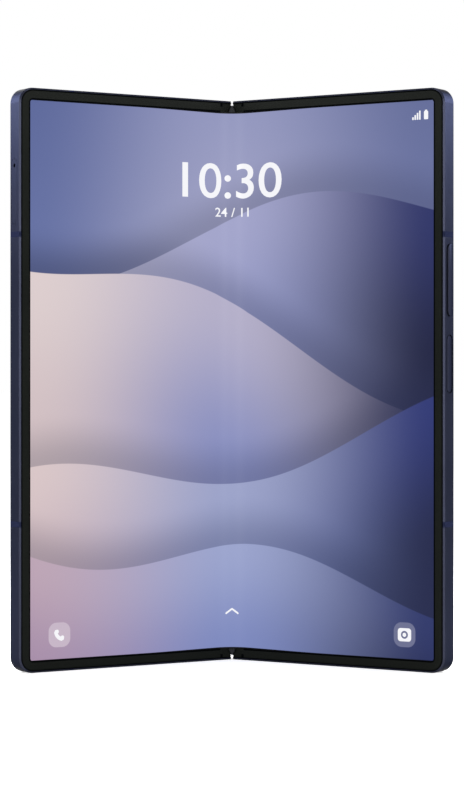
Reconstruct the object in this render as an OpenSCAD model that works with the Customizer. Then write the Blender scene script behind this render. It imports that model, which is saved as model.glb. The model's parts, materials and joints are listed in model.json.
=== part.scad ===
// Book-style foldable phone, half open and standing on its bottom rails.
// Each half is drawn flat as a right half: x runs out from the fold line, y runs from the
// inner face (0) to the back (phone_depth), z runs up from the bottom rail. It is then turned
// by half of the fold about its fold axis, and the left half is its mirror image.

/* [Phone] */
// Height of the phone
phone_height = 153.5; // [140:0.5:190]
// Width of one half, from the fold line to the outer rail
half_width = 66.3; // [55:0.1:82]
// Thickness of one half without its camera
phone_depth = 5.6; // [5.3:0.1:7]
// Angle between the two inner faces as the phone stands
open_angle = 115; // [95:1:140]
// Radius of the four outer corners
corner_radius = 4; // [2:0.1:8]
// Chamfer along the outer edges
edge_chamfer = 0.4; // [0.2:0.05:0.5]
// Wall of the outer rails
rail_wall = 1.6; // [1.3:0.1:2.2]
// Frame rim left in front of the bezel and round the back glass
rim = 0.65; // [0.6:0.05:0.9]

/* [Fold] */
// Clear width between the inner faces when the phone is shut
closed_gap = 0.9; // [0.6:0.1:1.4]
// Depth of the two fold axes behind the inner face
axis_y = 1.35; // [1.3:0.05:1.5]
// Clear width between the two halves when the phone is flat
fold_gap = 0.6; // [0.4:0.1:0.8]
// Wall of the spine cover
spine_wall = 0.4; // [0.3:0.05:0.45]
// Running gap between the spine cover and the halves
spine_clearance = 0.15; // [0.1:0.05:0.25]
// Metal strip of the frame behind the spine
back_strip = 0.5; // [0.4:0.05:0.6]
// End wall of the frame beside the fold
end_wall = 1; // [0.9:0.05:1.2]

/* [Screens] */
// Width of the raised bezel
bezel_width = 2.5; // [2:0.1:3.5]
// Drop from the bezel to the inner screen
screen_recess = 0.35; // [0.3:0.05:0.4]
// Thickness of the folding screen
screen_sheet = 0.45; // [0.4:0.05:0.5]
// Radius of the screen's bend as the phone stands
screen_bend_radius = 8; // [6:0.5:9.5]
// Thickness of the metal plates under the screen
screen_plate = 0.15; // [0.1:0.05:0.2]
// Thickness of the frame's middle plate
middle_plate = 0.5; // [0.4:0.05:0.6]
// Thickness of the back glass and of the cover glass
back_glass_sheet = 0.6; // [0.5:0.05:0.7]
// Thickness of the cover screen panel
cover_panel = 0.8; // [0.6:0.1:0.9]

/* [Hinge] */
// Distance from the end of the phone to each hinge module
hinge_inset = 16; // [12:1:30]
// Mean radius of the arc rails
arc_radius = 2.35; // [2.3:0.05:2.4]
// Thickness of the arc rails
arc_thickness = 0.85; // [0.7:0.05:0.9]
// Running gap of the arc rails, gears and pins
running_gap = 0.08; // [0.05:0.01:0.1]
// Pitch radius of the synchronising gears
gear_radius = 0.85; // [0.8:0.01:0.87]
// Teeth of each gear
gear_teeth = 12; // [10:2:14]
// Width of the gears
gear_width = 2.6; // [2:0.1:3.2]
// Width of each synchronising arm
arm_width = 2.4; // [2:0.1:3]
// Width of each arc rail
rail_width = 4; // [3:0.1:5]
// Distance from the gear to the arm's guide pin
arm_length = 6.5; // [6.4:0.1:7]

/* [Keys and ports] */
// Depth of the keys' and tray's centre line behind the inner face
key_line = 3; // [2.8:0.05:3.2]
// Width of the keys
key_width = 2.6; // [2:0.1:2.8]
// Length of the volume key
volume_length = 18.9; // [14:0.1:22]
// Top of the volume key below the top of the phone
volume_drop = 41; // [40:0.5:50]
// Length of the side key
side_length = 14.7; // [10:0.1:16]
// Top of the side key below the top of the phone
side_drop = 65.1; // [62:0.1:75]
// Length of the card tray's face
tray_length = 17.2; // [14:0.1:18]
// Top of the card tray below the top of the phone
tray_drop = 18.6; // [12:0.1:19]
// How far the card tray reaches in
tray_reach = 14; // [10:0.5:15]
// Width of the data port's mouth
port_width = 8.94; // [8.9:0.01:9.1]
// Height of the data port's mouth
port_height = 3.16; // [3.1:0.01:3.2]
// Distance of the data port from the fold line
port_place = 33; // [30:0.5:36]
// Width of the plastic bands in the rails
band_width = 1.5; // [1:0.1:2]

/* [Cameras] */
// Width of the camera island
island_width = 19; // [17:0.5:21]
// How far the camera island stands proud
island_height = 0.8; // [0.5:0.1:1.2]
// Distance between the camera lenses
lens_pitch = 17.5; // [16:0.5:19]
// Outer radius of a lens ring
ring_radius = 7.4; // [6.5:0.1:7.8]
// How far a lens ring stands proud of the island
ring_height = 0.8; // [0.5:0.1:1]

/* [Hidden] */
$fn = 64;

// Fitting gap between pieces that don't move
fit = 0.05;
// A cut runs this far past the face that it opens
over = 1;
rest_fold = (180 - open_angle) / 2;
axis_x = axis_y + closed_gap / 2;
half_gap = fold_gap / 2;
// Largest radius about the fold axis that still passes the other half
nose_radius = axis_x - half_gap;

// The stack from the inner face to the back
screen_back = screen_recess + screen_sheet;
plate_back = screen_back + screen_plate;
middle_back = plate_back + middle_plate;
glass_front = phone_depth - back_glass_sheet;
cover_panel_front = glass_front - cover_panel;
bezel_edge = rim + bezel_width;
screen_tuck = 0.55;
inner_wall = half_width - rail_wall;

// The spine: two arcs about the fold axes with a flat between them
spine_outer = phone_depth - back_strip - spine_clearance - axis_y;
spine_inner = spine_outer - spine_wall;
spine_room = spine_outer + spine_clearance;
spine_rim_angle = 15;
spine_end = end_wall + spine_clearance;
spine_cap = 0.6;
hinge_wall_out = axis_x + spine_room + 0.75;
glass_start = axis_x + 1.8;
middle_start = 11.1;
hinge_wall_front = 2.35;
lip_radius = 0.6;

// The caps at the fold's ends, and how the bezels narrow to clear them
cap_start = spine_end + 0.25;
cap_flare = 1.5;
cap_slim = 0.75;
cap_gap = 0.1;
cap_recess = 0.15;
cap_reach = 3.57;

// The screen's bend between the two halves as the phone stands
bend_lift = axis_y - screen_recess;
bend_apex = axis_x + (bend_lift * sin(rest_fold) - axis_x) / cos(rest_fold);
bend_start = bend_apex + screen_bend_radius * tan(rest_fold);
bend_apex_y = axis_y - (bend_apex - axis_x) * sin(rest_fold) - bend_lift * cos(rest_fold);
bend_centre_y = bend_apex_y - screen_bend_radius / cos(rest_fold);

// Slits that let the plate under the bend flex, in four staggered rows
slit_length = 9;
slit_width = 0.35;
slit_bridge = 1.5;
slit_rows = [-2.4, -0.8, 0.8, 2.4];

// The plate that backs the screen beside the fold
wing_start = 2.2;
wing_inset = 5;
wing_sheet = 0.3;
wing_edge = 0.12;

// Ribbons across the fold
flex_width = 10;
flex_sheet = 0.12;
flex_y = 1.6;
flex_places = [phone_height * 0.36, phone_height * 0.58];

// The origin is under the middle of the standing phone's box
front_reach = axis_y - (half_width - edge_chamfer - axis_x) * sin(rest_fold) - axis_y * cos(rest_fold);
back_reach = axis_y + nose_radius * sin(rest_fold) + (phone_depth - axis_y) * cos(rest_fold);
stand_y = -(front_reach + back_reach) / 2;

// One hinge module, from its outer end: wall, right rail, wall, left rail, wall, arms and
// gears, wall, springs, wall
module_wall = 0.8;
end_plate = 1;
cell_gap = 0.1;
rail_cell = rail_width + 2 * cell_gap;
right_cell = end_plate;
left_cell = right_cell + rail_cell + module_wall;
gear_cell = left_cell + rail_cell + module_wall;
arm_start = gear_cell + cell_gap;
gear_start = arm_start + arm_width;
gear_cell_end = gear_start + gear_width + 2 * cell_gap;
spring_cell = gear_cell_end + module_wall;
spring_room = 7;
spring_cell_end = spring_cell + spring_room;
module_length = spring_cell_end + end_plate;
housing_top = 2.2;
trough_radius = 2;
trough_y = 0.6;
screw_tab = 3;
tab_half = 1.6;
tab_sheet = 0.8;
screw_shank = 0.5;
screw_head = 0.85;
head_height = 0.45;
socket_radius = 0.35;
spring_radius = 0.72;
spring_wire = 0.15;
spring_turns = 6;

// Gears in a shallow W: two idlers deep in the spine, a geared arm beside each of them
gear_module = 2 * gear_radius / gear_teeth;
gear_tip = gear_radius + 0.85 * gear_module;
gear_root = gear_radius - 1.1 * gear_module;
gear_slope = 30;
right_idler_phase = 0;
left_idler_phase = meshing_phase(right_idler_phase, 180);
right_arm_phase = meshing_phase(right_idler_phase, -gear_slope);
left_arm_phase = meshing_phase(left_idler_phase, 180 + gear_slope);
idler_x = gear_radius;
idler_y = 3.25;
arm_x = idler_x + 2 * gear_radius * cos(gear_slope);
arm_y = idler_y - 2 * gear_radius * sin(gear_slope);
shaft_radius = 0.4;
idler_shaft = 0.35;
hub_radius = 0.85;
boss_radius = 0.95;
pin_radius = 0.3;
pin_drop = 0.3;
blade_front = 1.6;
blade_back = 2.03;
lug_radius = 0.65;

// The arm's guide pin runs in an arc slot of the half, because the gear isn't on the fold axis
slot_radius = norm([arm_x - axis_x, arm_y - axis_y]);
slot_angle = atan2(arm_y - axis_y, arm_x - axis_x);
slot_centre = [axis_x + arm_length, axis_y + pin_drop];
slot_play = 0.1;
slot_overrun = 4;
ear_width = 0.7;
ear_gap = 0.2;
first_ear = arm_start - ear_gap - ear_width;
second_ear = gear_start + ear_gap;
ear_in = axis_x + spine_room + 0.85;
ear_out = slot_centre[0] + slot_radius + 0.9;
ear_back = slot_centre[1] + slot_radius + pin_radius + slot_play + 0.5;
rotor_front = 1.45;
rotor_back = 2.05;
rotor_out = 14;
screw_place = 12.6;
rotor_screw_heights = [1.5, gear_cell - 3.2, gear_start + ear_gap + 2.6];
arc_end = 150;

// Camera places on the right half's back
island_x = half_width - 3.2 - island_width / 2;
island_top = phone_height - 6;
lens_heights = [for (i = [0:2]) island_top - island_width / 2 - i * lens_pitch];
barrel_radius = 4.2;
barrel_gap = 0.2;
island_step = 0.25;
island_foot = 0.8;
module_half = 5.6;
ring_band = 1.3;
flash_x = island_x - 14;
flash_z = lens_heights[0] - 6;
flash_radius = 1.9;
cover_camera_x = (glass_start + half_width) / 2;
cover_camera_z = phone_height - 7;
cover_camera_radius = 1.8;
cover_camera_half = 2.6;

// Bays behind the middle plate
bay_low = 29;
bay_high_left = phone_height - 41;
bay_high_right = lens_heights[2] - island_width / 2 - 3;
bay_in = 14.6;
part_gap = 0.1;
bay_out = inner_wall - 2.6;
rib_sheet = 0.8;
coil_sheet = 0.35;
coil_radius = 21;
coil_band = 9;
board_sheet = 0.6;
board_back = 3.7;
can_height = 0.9;
speaker_in = 42.6;
speaker_out = 58;
speaker_depth = 9;
motor_x = [40, 58];
motor_z = [9, 22];
magnet_width = 2.2;
magnet_length = 9;
magnet_heights = [30, 45, 60];

// Keys, tray, ports and bands
key_height = [phone_height - volume_drop - volume_length, phone_height - side_drop - side_length];
tray_low = phone_height - tray_drop - tray_length;
key_flange = 0.4;
flange_gap = 0.2;
flange_reach = 0.8;
key_strip = [inner_wall - flange_gap - key_flange - 0.9, inner_wall - flange_gap - key_flange - 0.5];
band_heights = [phone_height - 38.5 - band_width / 2, 39 - band_width / 2];
band_place = 50;
band_depth = rim - fit;
port_y = phone_depth / 2 + 0.3;
port_sheet = 0.3;
port_length = 6.6;
tongue_half = [3.3, 0.35];
speaker_holes = [for (i = [0:5]) 44 + i * 2.2];
speaker_hole_radius = 0.55;
mic_hole = 24;
mic_hole_radius = 0.45;
mic_half = [1.5, 0.7];
key_play = 0.12;
tray_sheet = 0.9;
socket_wall = 0.15;
socket_back = key_line + tray_sheet / 2 + key_play + socket_wall;

// ---------- placing and extruding ----------

// Move a piece drawn about the fold line to where the phone stands
module on_spine() {
    translate([0, stand_y, 0]) children();
}

// Turn a half drawn flat by half of the fold, about its own fold axis
module on_right() {
    on_spine() translate([axis_x, axis_y, 0]) rotate([0, 0, -rest_fold])
        translate([-axis_x, -axis_y, 0]) children();
}

module on_left() {
    mirror([1, 0, 0]) on_right() children();
}

// A shape drawn in x and y, extruded upwards
module along_z(low, high) {
    translate([0, 0, low]) linear_extrude(high - low) children();
}

// A shape drawn in x and z, extruded from the inner face towards the back
module along_y(low, high) {
    translate([0, high, 0]) rotate([90, 0, 0]) linear_extrude(high - low) children();
}

// A shape drawn in y and z, extruded out from the fold line
module along_x(low, high) {
    translate([low, 0, 0]) rotate([90, 0, 90]) linear_extrude(high - low) children();
}

// The same piece at the lower and at the upper hinge module
module at_both_modules() {
    translate([0, 0, hinge_inset]) children();
    translate([0, 0, phone_height - hinge_inset]) mirror([0, 0, 1]) children();
}

// The same piece at the bottom and, turned over, at the top
module at_both_ends() {
    children();
    translate([0, 0, phone_height]) mirror([0, 0, 1]) children();
}

module box(x, y, z) {
    translate([x[0], y[0], z[0]]) cube([x[1] - x[0], y[1] - y[0], z[1] - z[0]]);
}

// A rectangle whose corners away from the fold are round
module outline(x, z, r) {
    translate([x[0], z[0]]) square([x[1] - x[0] - r, z[1] - z[0]]);
    translate([x[0], z[0] + r]) square([x[1] - x[0], z[1] - z[0] - 2 * r]);
    translate([x[1] - r, z[0] + r]) circle(r);
    translate([x[1] - r, z[1] - r]) circle(r);
}

// A sheet that fills a half up to an inset from its outer edges
module sheet(start, inset, y, r) {
    along_y(y[0], y[1]) outline([start, half_width - inset], [inset, phone_height - inset], r);
}

// A slot with round ends, drawn by its width and its length
module slot_shape(centre, width, ends) {
    translate([centre - width / 2, ends[0] + width / 2]) square([width, ends[1] - ends[0] - width]);
    translate([centre, ends[0] + width / 2]) circle(width / 2);
    translate([centre, ends[1] - width / 2]) circle(width / 2);
}

// The same slot lying on its side
module wide_slot(centre, height, ends) {
    translate([ends[0] + height / 2, centre - height / 2]) square([ends[1] - ends[0] - height, height]);
    translate([ends[0] + height / 2, centre]) circle(height / 2);
    translate([ends[1] - height / 2, centre]) circle(height / 2);
}

// ---------- the frame ----------

// The chamfered section of a rail, a reach out from x = 0
module rail_section(reach) {
    polygon([[0, 0], [reach - edge_chamfer, 0], [reach, edge_chamfer],
        [reach, phone_depth - edge_chamfer], [reach - edge_chamfer, phone_depth], [0, phone_depth]]);
}

// A quarter of a chamfered disc: the outer corner at the bottom
module rail_corner() {
    translate([half_width - corner_radius, 0, corner_radius]) rotate([-90, 0, 0])
        rotate_extrude(angle = 90, $fn = 96) rail_section(corner_radius);
}

// The whole block of one half with its chamfered rails
module half_block() {
    along_z(corner_radius, phone_height - corner_radius)
        translate([half_gap, 0]) rail_section(half_width - half_gap);
    at_both_ends() {
        translate([half_gap, 0, corner_radius]) rotate([0, 90, 0])
            linear_extrude(half_width - corner_radius - half_gap) rail_section(corner_radius);
        rail_corner();
    }
}

// The frame's sharp corners where the bottom and top rails end at the fold
module lip_corners() {
    at_both_ends() along_y(-over, phone_depth + over) difference() {
        translate([half_gap - over, -over]) square(lip_radius + over);
        translate([half_gap + lip_radius, lip_radius]) circle(lip_radius, $fn = 48);
    }
}

// What has to go from a piece beside the fold so that it passes the other half
module nose_cut() {
    difference() {
        box([-over, axis_x], [-over, axis_y], [-over, phone_height + over]);
        translate([axis_x, axis_y, -2 * over]) cylinder(h = phone_height + 4 * over, r = nose_radius);
    }
}

// Room in a half for the spine as the half turns round it
module spine_space() {
    box([-over, middle_start], [plate_back - fit, hinge_wall_front],
        [end_wall, phone_height - end_wall]);
    box([-over, axis_x], [axis_y, phone_depth - back_strip], [end_wall, phone_height - end_wall]);
    translate([axis_x, axis_y, end_wall]) cylinder(h = phone_height - 2 * end_wall, r = spine_room);
}

// Cavities and holes that both halves have
module frame_hollows() {
    sheet(-over, rim, [-over, plate_back], corner_radius - rim);
    sheet(glass_start, rim, [glass_front, phone_depth + over], corner_radius - rim);
    sheet(hinge_wall_out, rail_wall, [middle_back, glass_front + over / 2], corner_radius - rail_wall);
    spine_space();
    nose_cut();
    lip_corners();
    at_both_modules() rotor_screw_holes();
    band_blocks();
}

// Ribs that part the battery bay from the boards
module bay_ribs(high, out) {
    for (z = [bay_low - 1.4, high + 0.6])
        box([bay_in, out], [middle_back - fit, 2.6], [z, z + rib_sheet]);
}

module volume_slot(play, reach = 0) {
    slot_shape(key_line, key_width + 2 * play,
        [key_height[0] - play - reach, key_height[0] + volume_length + play + reach]);
}

module side_slot(play, reach = 0) {
    slot_shape(key_line, key_width + 2 * play,
        [key_height[1] - play - reach, key_height[1] + side_length + play + reach]);
}

module tray_slot(play) {
    slot_shape(key_line, 2.9 + 2 * play, [tray_low - play, tray_low + tray_length + play]);
}

module port_slot(play) {
    wide_slot(port_y, port_height + 2 * play,
        [port_place - port_width / 2 - play, port_place + port_width / 2 + play]);
}

// Round holes through the bottom rail, drawn once for the bottom and the top
module rail_holes(places, radius) {
    for (x = places) translate([x, port_y, -over]) cylinder(h = rail_wall + 2 * over, r = radius, $fn = 24);
}

module left_frame() {
    color("#34384b") on_left() {
        difference() {
            half_block();
            frame_hollows();
            along_x(inner_wall - over, half_width - 1) tray_inner_slot(key_play);
            along_x(half_width - 1 - fit, half_width + over) tray_slot(key_play / 1.5);
            translate([0, 0, phone_height]) mirror([0, 0, 1]) rail_holes(speaker_holes, speaker_hole_radius);
        }
        bay_ribs(bay_high_left, inner_wall + fit);
    }
}

module right_frame() {
    color("#34384b") on_right() {
        difference() {
            half_block();
            frame_hollows();
            along_x(inner_wall - over, half_width + over) volume_slot(key_play);
            along_x(inner_wall - over, half_width + over) side_slot(key_play);
            along_x(half_width - 0.25, half_width + over) side_slot(0.4);
            along_z(-over, rail_wall + over) port_slot(fit);
            rail_holes(speaker_holes, speaker_hole_radius);
            rail_holes([mic_hole], mic_hole_radius);
            translate([0, 0, phone_height]) mirror([0, 0, 1]) rail_holes([mic_hole], mic_hole_radius);
        }
        bay_ribs(bay_high_right, key_strip[0] - part_gap);
    }
}

// Plastic bands let into the rails, drawn as blocks that the frame gives way to
module band_blocks() {
    for (z = band_heights)
        box([half_width - band_depth, half_width + over], [-over, phone_depth + over], [z, z + band_width]);
    at_both_ends() box([band_place, band_place + band_width], [-over, phone_depth + over], [-over, band_depth]);
}

module antenna_bands() {
    intersection() {
        half_block();
        band_blocks();
    }
}

module left_antenna_bands() {
    color("#22263a") on_left() antenna_bands();
}

module right_antenna_bands() {
    color("#22263a") on_right() antenna_bands();
}

// ---------- bezel and folding screen ----------

// The bezel's end beside the fold narrows towards the screen, to clear the fold cap
module bezel_nose() {
    difference() {
        box([-over, axis_x], [-over, axis_y], [-over, phone_height / 2]);
        translate([axis_x, axis_y, -2 * over]) cylinder(h = 2 * over + cap_start, r = nose_radius);
        translate([axis_x, axis_y, cap_start])
            cylinder(h = cap_flare, r1 = nose_radius, r2 = cap_slim);
        translate([axis_x, axis_y, cap_start + cap_flare]) cylinder(h = over, r = cap_slim);
    }
}

module bezel() {
    difference() {
        sheet(half_gap, rim + fit, [0, plate_back - fit / 2], corner_radius - rim - fit);
        sheet(-over, bezel_edge, [-over, plate_back + over], 0.8);
        sheet(-over, bezel_edge - screen_tuck - fit, [screen_recess - fit / 2, plate_back + over], 0.6);
        box([-over, cap_reach], [-over, cap_recess], [-over, phone_height + over]);
        at_both_ends() bezel_nose();
    }
}

module left_bezel() {
    color("#1c1f22") on_left() bezel();
}

module right_bezel() {
    color("#1c1f22") on_right() bezel();
}

module screen_panel() {
    sheet(bend_start + fit / 2, bezel_edge - screen_tuck, [screen_recess, screen_back], 0.5);
}

module left_screen() {
    color("#b9a8b6") on_left() screen_panel();
}

module right_screen() {
    color("#2a3258") on_right() screen_panel();
}

module under_plate() {
    sheet(bend_start + fit / 2, bezel_edge - screen_tuck + fit, [screen_back, plate_back], 0.5);
}

module left_screen_plate() {
    color("#8d9096") on_left() under_plate();
}

module right_screen_plate() {
    color("#8d9096") on_right() under_plate();
}

// A ring sector about the bend's centre, between the two halves
module bend_section(depth, thickness) {
    inner = screen_bend_radius + depth;
    reach = 2 * (inner + thickness);
    edge = rest_fold - 0.2;
    translate([0, bend_centre_y]) intersection() {
        difference() {
            circle(inner + thickness, $fn = 180);
            circle(inner, $fn = 180);
        }
        polygon([[0, 0], [reach * sin(edge), reach * cos(edge)], [-reach * sin(edge), reach * cos(edge)]]);
    }
}

module screen_bend() {
    color("#8f93b8") on_spine()
        along_z(bezel_edge + fit, phone_height - bezel_edge - fit) bend_section(0, screen_sheet);
}

// The lattice plate under the bend, slit so that it bends with the screen
module bend_plate() {
    slit_pitch = slit_length + slit_bridge;
    slit_count = floor((phone_height - 2 * bezel_edge - 2) / slit_pitch);
    first = (phone_height - slit_count * slit_pitch + slit_bridge) / 2;
    color("#9a9da3") on_spine() difference() {
        along_z(bezel_edge + fit, phone_height - bezel_edge - fit) bend_section(screen_sheet, screen_plate);
        for (i = [0:slit_count - 1], x = slit_rows)
            box([x - slit_width / 2, x + slit_width / 2], [-4, 4],
                [first + i * slit_pitch, first + i * slit_pitch + slit_length]);
    }
}

// Caps that close the fold's ends behind the bezels
module fold_cap() {
    low = bezel_edge;
    wide = axis_x - cap_slim - cap_gap;
    slim = half_gap - cap_gap;
    along_y(axis_y, housing_top - 0.05)
        polygon([[-wide, low], [-wide, cap_start + cap_flare], [-slim, cap_start], [-slim, spine_end],
            [slim, spine_end], [slim, cap_start], [wide, cap_start + cap_flare], [wide, low]]);
    box([-wide, wide], [housing_top - 0.05, idler_y], [spine_end + spine_cap, low]);
}

module fold_caps() {
    color("#2b2d33") on_spine() at_both_ends() fold_cap();
}

// ---------- the spine and its hinge modules ----------

// The spine's section to a radius about the two fold axes
module spine_shape(radius) {
    translate([-axis_x, axis_y]) square([2 * axis_x, radius]);
    for (x = [-axis_x, axis_x]) translate([x, axis_y]) circle(radius, $fn = 96);
}

// What lies in front of the spine's rims
module before_rims() {
    reach = 9;
    drop = spine_inner * sin(spine_rim_angle);
    in = axis_x + spine_inner * cos(spine_rim_angle);
    polygon([[-in, axis_y + drop], [in, axis_y + drop],
        [in + reach * cos(spine_rim_angle), axis_y + drop + reach * sin(spine_rim_angle)],
        [in + reach, -reach], [-in - reach, -reach],
        [-in - reach * cos(spine_rim_angle), axis_y + drop + reach * sin(spine_rim_angle)]]);
}

module spine_cover() {
    color("#3a3e54") on_spine() difference() {
        along_z(spine_end, phone_height - spine_end) difference() {
            spine_shape(spine_outer);
            before_rims();
        }
        along_z(spine_end + spine_cap, phone_height - spine_end - spine_cap) spine_shape(spine_inner);
        at_both_modules() housing_screw_places() cylinder(h = 1.2, r = screw_shank, center = true, $fn = 24);
        for (x = [-axis_x, axis_x]) translate([x, axis_y, 0]) cylinder(h = phone_height, r = nose_radius + spine_clearance);
    }
}

// Screw places in the tabs at each end of a housing, on the spine's floor
module housing_screw_places() {
    for (z = [-screw_tab / 2, module_length + screw_tab / 2])
        translate([0, axis_y + spine_inner - 0.4, z]) rotate([90, 0, 0]) children();
}

module groove(side) {
    outer = arc_radius + arc_thickness / 2 + running_gap;
    inner = arc_radius - arc_thickness / 2 - running_gap;
    translate([side * axis_x, axis_y]) mirror([side < 0 ? 1 : 0, 0]) intersection() {
        difference() {
            circle(outer);
            circle(inner);
        }
        polygon([[0, 0], [9, 0], [9, 9], [-9, 9], [9 * cos(arc_end + 3), 9 * sin(arc_end + 3)]]);
    }
}

// Wells for the gears and the spring, open to the front
module gear_well() {
    room = gear_tip + 0.1;
    for (side = [-1, 1]) {
        translate([side * arm_x, arm_y]) circle(room);
        translate([side * idler_x, idler_y]) circle(room);
    }
    polygon([[-arm_x - room, 0], [-arm_x - room, arm_y], [-idler_x, idler_y + room / 2],
        [idler_x, idler_y + room / 2], [arm_x + room, arm_y], [arm_x + room, 0]]);
}

module spring_well() {
    room = spring_radius + spring_wire + 0.15;
    for (side = [-1, 1]) {
        translate([side * arm_x, arm_y]) circle(room);
        translate([side * arm_x - room, 0]) square([2 * room, arm_y]);
    }
}

module housing_walls() {
    for (z = [[gear_cell - module_wall, gear_cell], [gear_cell_end, spring_cell],
            [spring_cell_end, module_length]], side = [-1, 1])
        translate([side * arm_x, arm_y, z[0]]) cylinder(h = z[1] - z[0], r = boss_radius);
}

module hinge_housing() {
    tab_front = axis_y + spine_inner - fit - tab_sheet;
    difference() {
        union() {
            along_z(0, module_length) difference() {
                spine_shape(spine_inner - fit);
                translate([-9, -9]) square([18, 9 + housing_top]);
                translate([0, trough_y]) circle(trough_radius);
            }
            housing_walls();
            for (z = [-screw_tab, module_length])
                box([-tab_half, tab_half], [tab_front, tab_front + tab_sheet], [z, z + screw_tab]);
        }
        along_z(right_cell, right_cell + rail_cell) groove(1);
        along_z(left_cell, left_cell + rail_cell) groove(-1);
        along_z(gear_cell, gear_cell_end) gear_well();
        along_z(spring_cell, spring_cell_end) spring_well();
        for (side = [-1, 1]) {
            translate([side * arm_x, arm_y, gear_cell - 0.6])
                cylinder(h = module_length + 0.2 - gear_cell, r = shaft_radius + running_gap, $fn = 32);
            translate([side * idler_x, idler_y, gear_cell - 0.6])
                cylinder(h = gear_cell_end + 1.2 - gear_cell, r = idler_shaft + running_gap, $fn = 32);
        }
        housing_screw_places() cylinder(h = 3, r = screw_shank + fit, center = true, $fn = 24);
    }
}

module hinge_housings() {
    color("#7c8088") on_spine() at_both_modules() hinge_housing();
}

module hinge_screws() {
    head_back = axis_y + spine_inner - fit - tab_sheet;
    color("#b9bcc2") on_spine() at_both_modules() for (z = [-screw_tab / 2, module_length + screw_tab / 2])
        translate([0, head_back, z]) rotate([90, 0, 0]) {
            difference() {
                cylinder(h = head_height, r = screw_head, $fn = 32);
                translate([0, 0, head_height - 0.25]) cylinder(h = 1, r = socket_radius, $fn = 6);
            }
            translate([0, 0, -1]) cylinder(h = 1, r = screw_shank - 0.02, $fn = 32);
        }
}

// A helical wire, as rings of points along the helix joined into one tube
function helix_point(i, steps, turns, length, radius) =
    let (a = 360 * turns * i / steps) [radius * cos(a), radius * sin(a), length * i / steps];
function helix_ring(i, steps, turns, length, sides) =
    let (a = 360 * turns * i / steps, c = helix_point(i, steps, turns, length, spring_radius))
    [for (k = [0:sides - 1]) let (b = 360 * k / sides)
        c + spring_wire * cos(b) * [cos(a), sin(a), 0] + spring_wire * sin(b) * [0, 0, 1]];

module helix(turns, length) {
    sides = 6;
    steps = turns * 8;
    points = [for (i = [0:steps]) each helix_ring(i, steps, turns, length, sides)];
    walls = [for (i = [0:steps - 1], k = [0:sides - 1], t = [0, 1])
        let (a = i * sides + k, b = i * sides + (k + 1) % sides)
        t == 0 ? [a, a + sides, b] : [b, a + sides, b + sides]];
    ends = [for (k = [1:sides - 2]) each [[0, k, k + 1], [steps * sides, steps * sides + k + 1, steps * sides + k]]];
    polyhedron(points, concat(walls, ends));
}

// Springs on the arm shafts, which press the detents that hold the fold at any angle
module detent_springs() {
    color("#c9cbd0") on_spine() at_both_modules() for (side = [-1, 1])
        translate([side * arm_x, arm_y, spring_cell + spring_wire + fit])
            helix(spring_turns, spring_room - 2 * spring_wire - 2 * fit);
}

// ---------- gears and arms ----------

// One tooth and its gap: straight flanks between the root and the tip circle
function tooth_points(angle) =
    let (pitch = 360 / gear_teeth)
    [for (p = [[gear_root, -0.34], [gear_radius, -0.21], [gear_tip, -0.1],
            [gear_tip, 0.1], [gear_radius, 0.21], [gear_root, 0.34]])
        p[0] * [cos(angle + p[1] * pitch), sin(angle + p[1] * pitch)]];

module gear_shape(phase) {
    polygon([for (i = [0:gear_teeth - 1]) each tooth_points(phase + i * 360 / gear_teeth)]);
}

// The phase of a gear that meshes with one of another phase, seen in a direction
function meshing_phase(phase, direction) = 2 * direction + 180 - phase + 180 / gear_teeth;

module idler(side, phase) {
    translate([side * idler_x, idler_y, 0]) {
        along_z(gear_start + cell_gap / 2, gear_start + gear_width) gear_shape(phase);
        translate([0, 0, gear_cell - 0.5]) cylinder(h = gear_cell_end + 1 - gear_cell, r = idler_shaft, $fn = 32);
    }
}

module left_idler_gears() {
    color("#d0a860") on_spine() at_both_modules() idler(-1, left_idler_phase);
}

module right_idler_gears() {
    color("#d0a860") on_spine() at_both_modules() idler(1, right_idler_phase);
}

// The arm's outline with the phone flat, drawn as a right arm
module arm_shape() {
    pin = [arm_x + arm_length, arm_y + pin_drop];
    translate([arm_x, arm_y]) circle(hub_radius, $fn = 48);
    polygon([[arm_x - 0.5, arm_y - 0.55], [arm_x + 0.2, blade_front], [pin[0] + 0.3, blade_front],
        [pin[0] + lug_radius, blade_front + 0.35], [pin[0] + lug_radius, pin[1]],
        [pin[0] - lug_radius, pin[1]], [pin[0] - lug_radius, blade_back],
        [arm_x + 0.95, blade_back], [arm_x + 0.7, arm_y + 0.3]]);
    translate(pin) circle(lug_radius, $fn = 48);
}

module sync_arm(phase) {
    translate([arm_x, arm_y, 0]) rotate([0, 0, -rest_fold]) translate([-arm_x, -arm_y, 0]) {
        along_z(arm_start, gear_start) arm_shape();
        translate([arm_x + arm_length, arm_y + pin_drop, arm_start - ear_gap - ear_width + 0.1])
            cylinder(h = arm_width + 2 * (ear_gap + ear_width) - 0.2, r = pin_radius, $fn = 32);
    }
    translate([arm_x, arm_y, 0]) {
        along_z(gear_start - fit, gear_start + gear_width) gear_shape(phase);
        translate([0, 0, gear_cell - 0.5]) cylinder(h = module_length - 0.1 - gear_cell, r = shaft_radius, $fn = 32);
    }
}

module left_sync_arms() {
    color("#a9acb3") on_spine() mirror([1, 0, 0]) at_both_modules() sync_arm(180 - left_arm_phase);
}

module right_sync_arms() {
    color("#a9acb3") on_spine() at_both_modules() sync_arm(right_arm_phase);
}

// ---------- what carries the hinge in each half ----------

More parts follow.
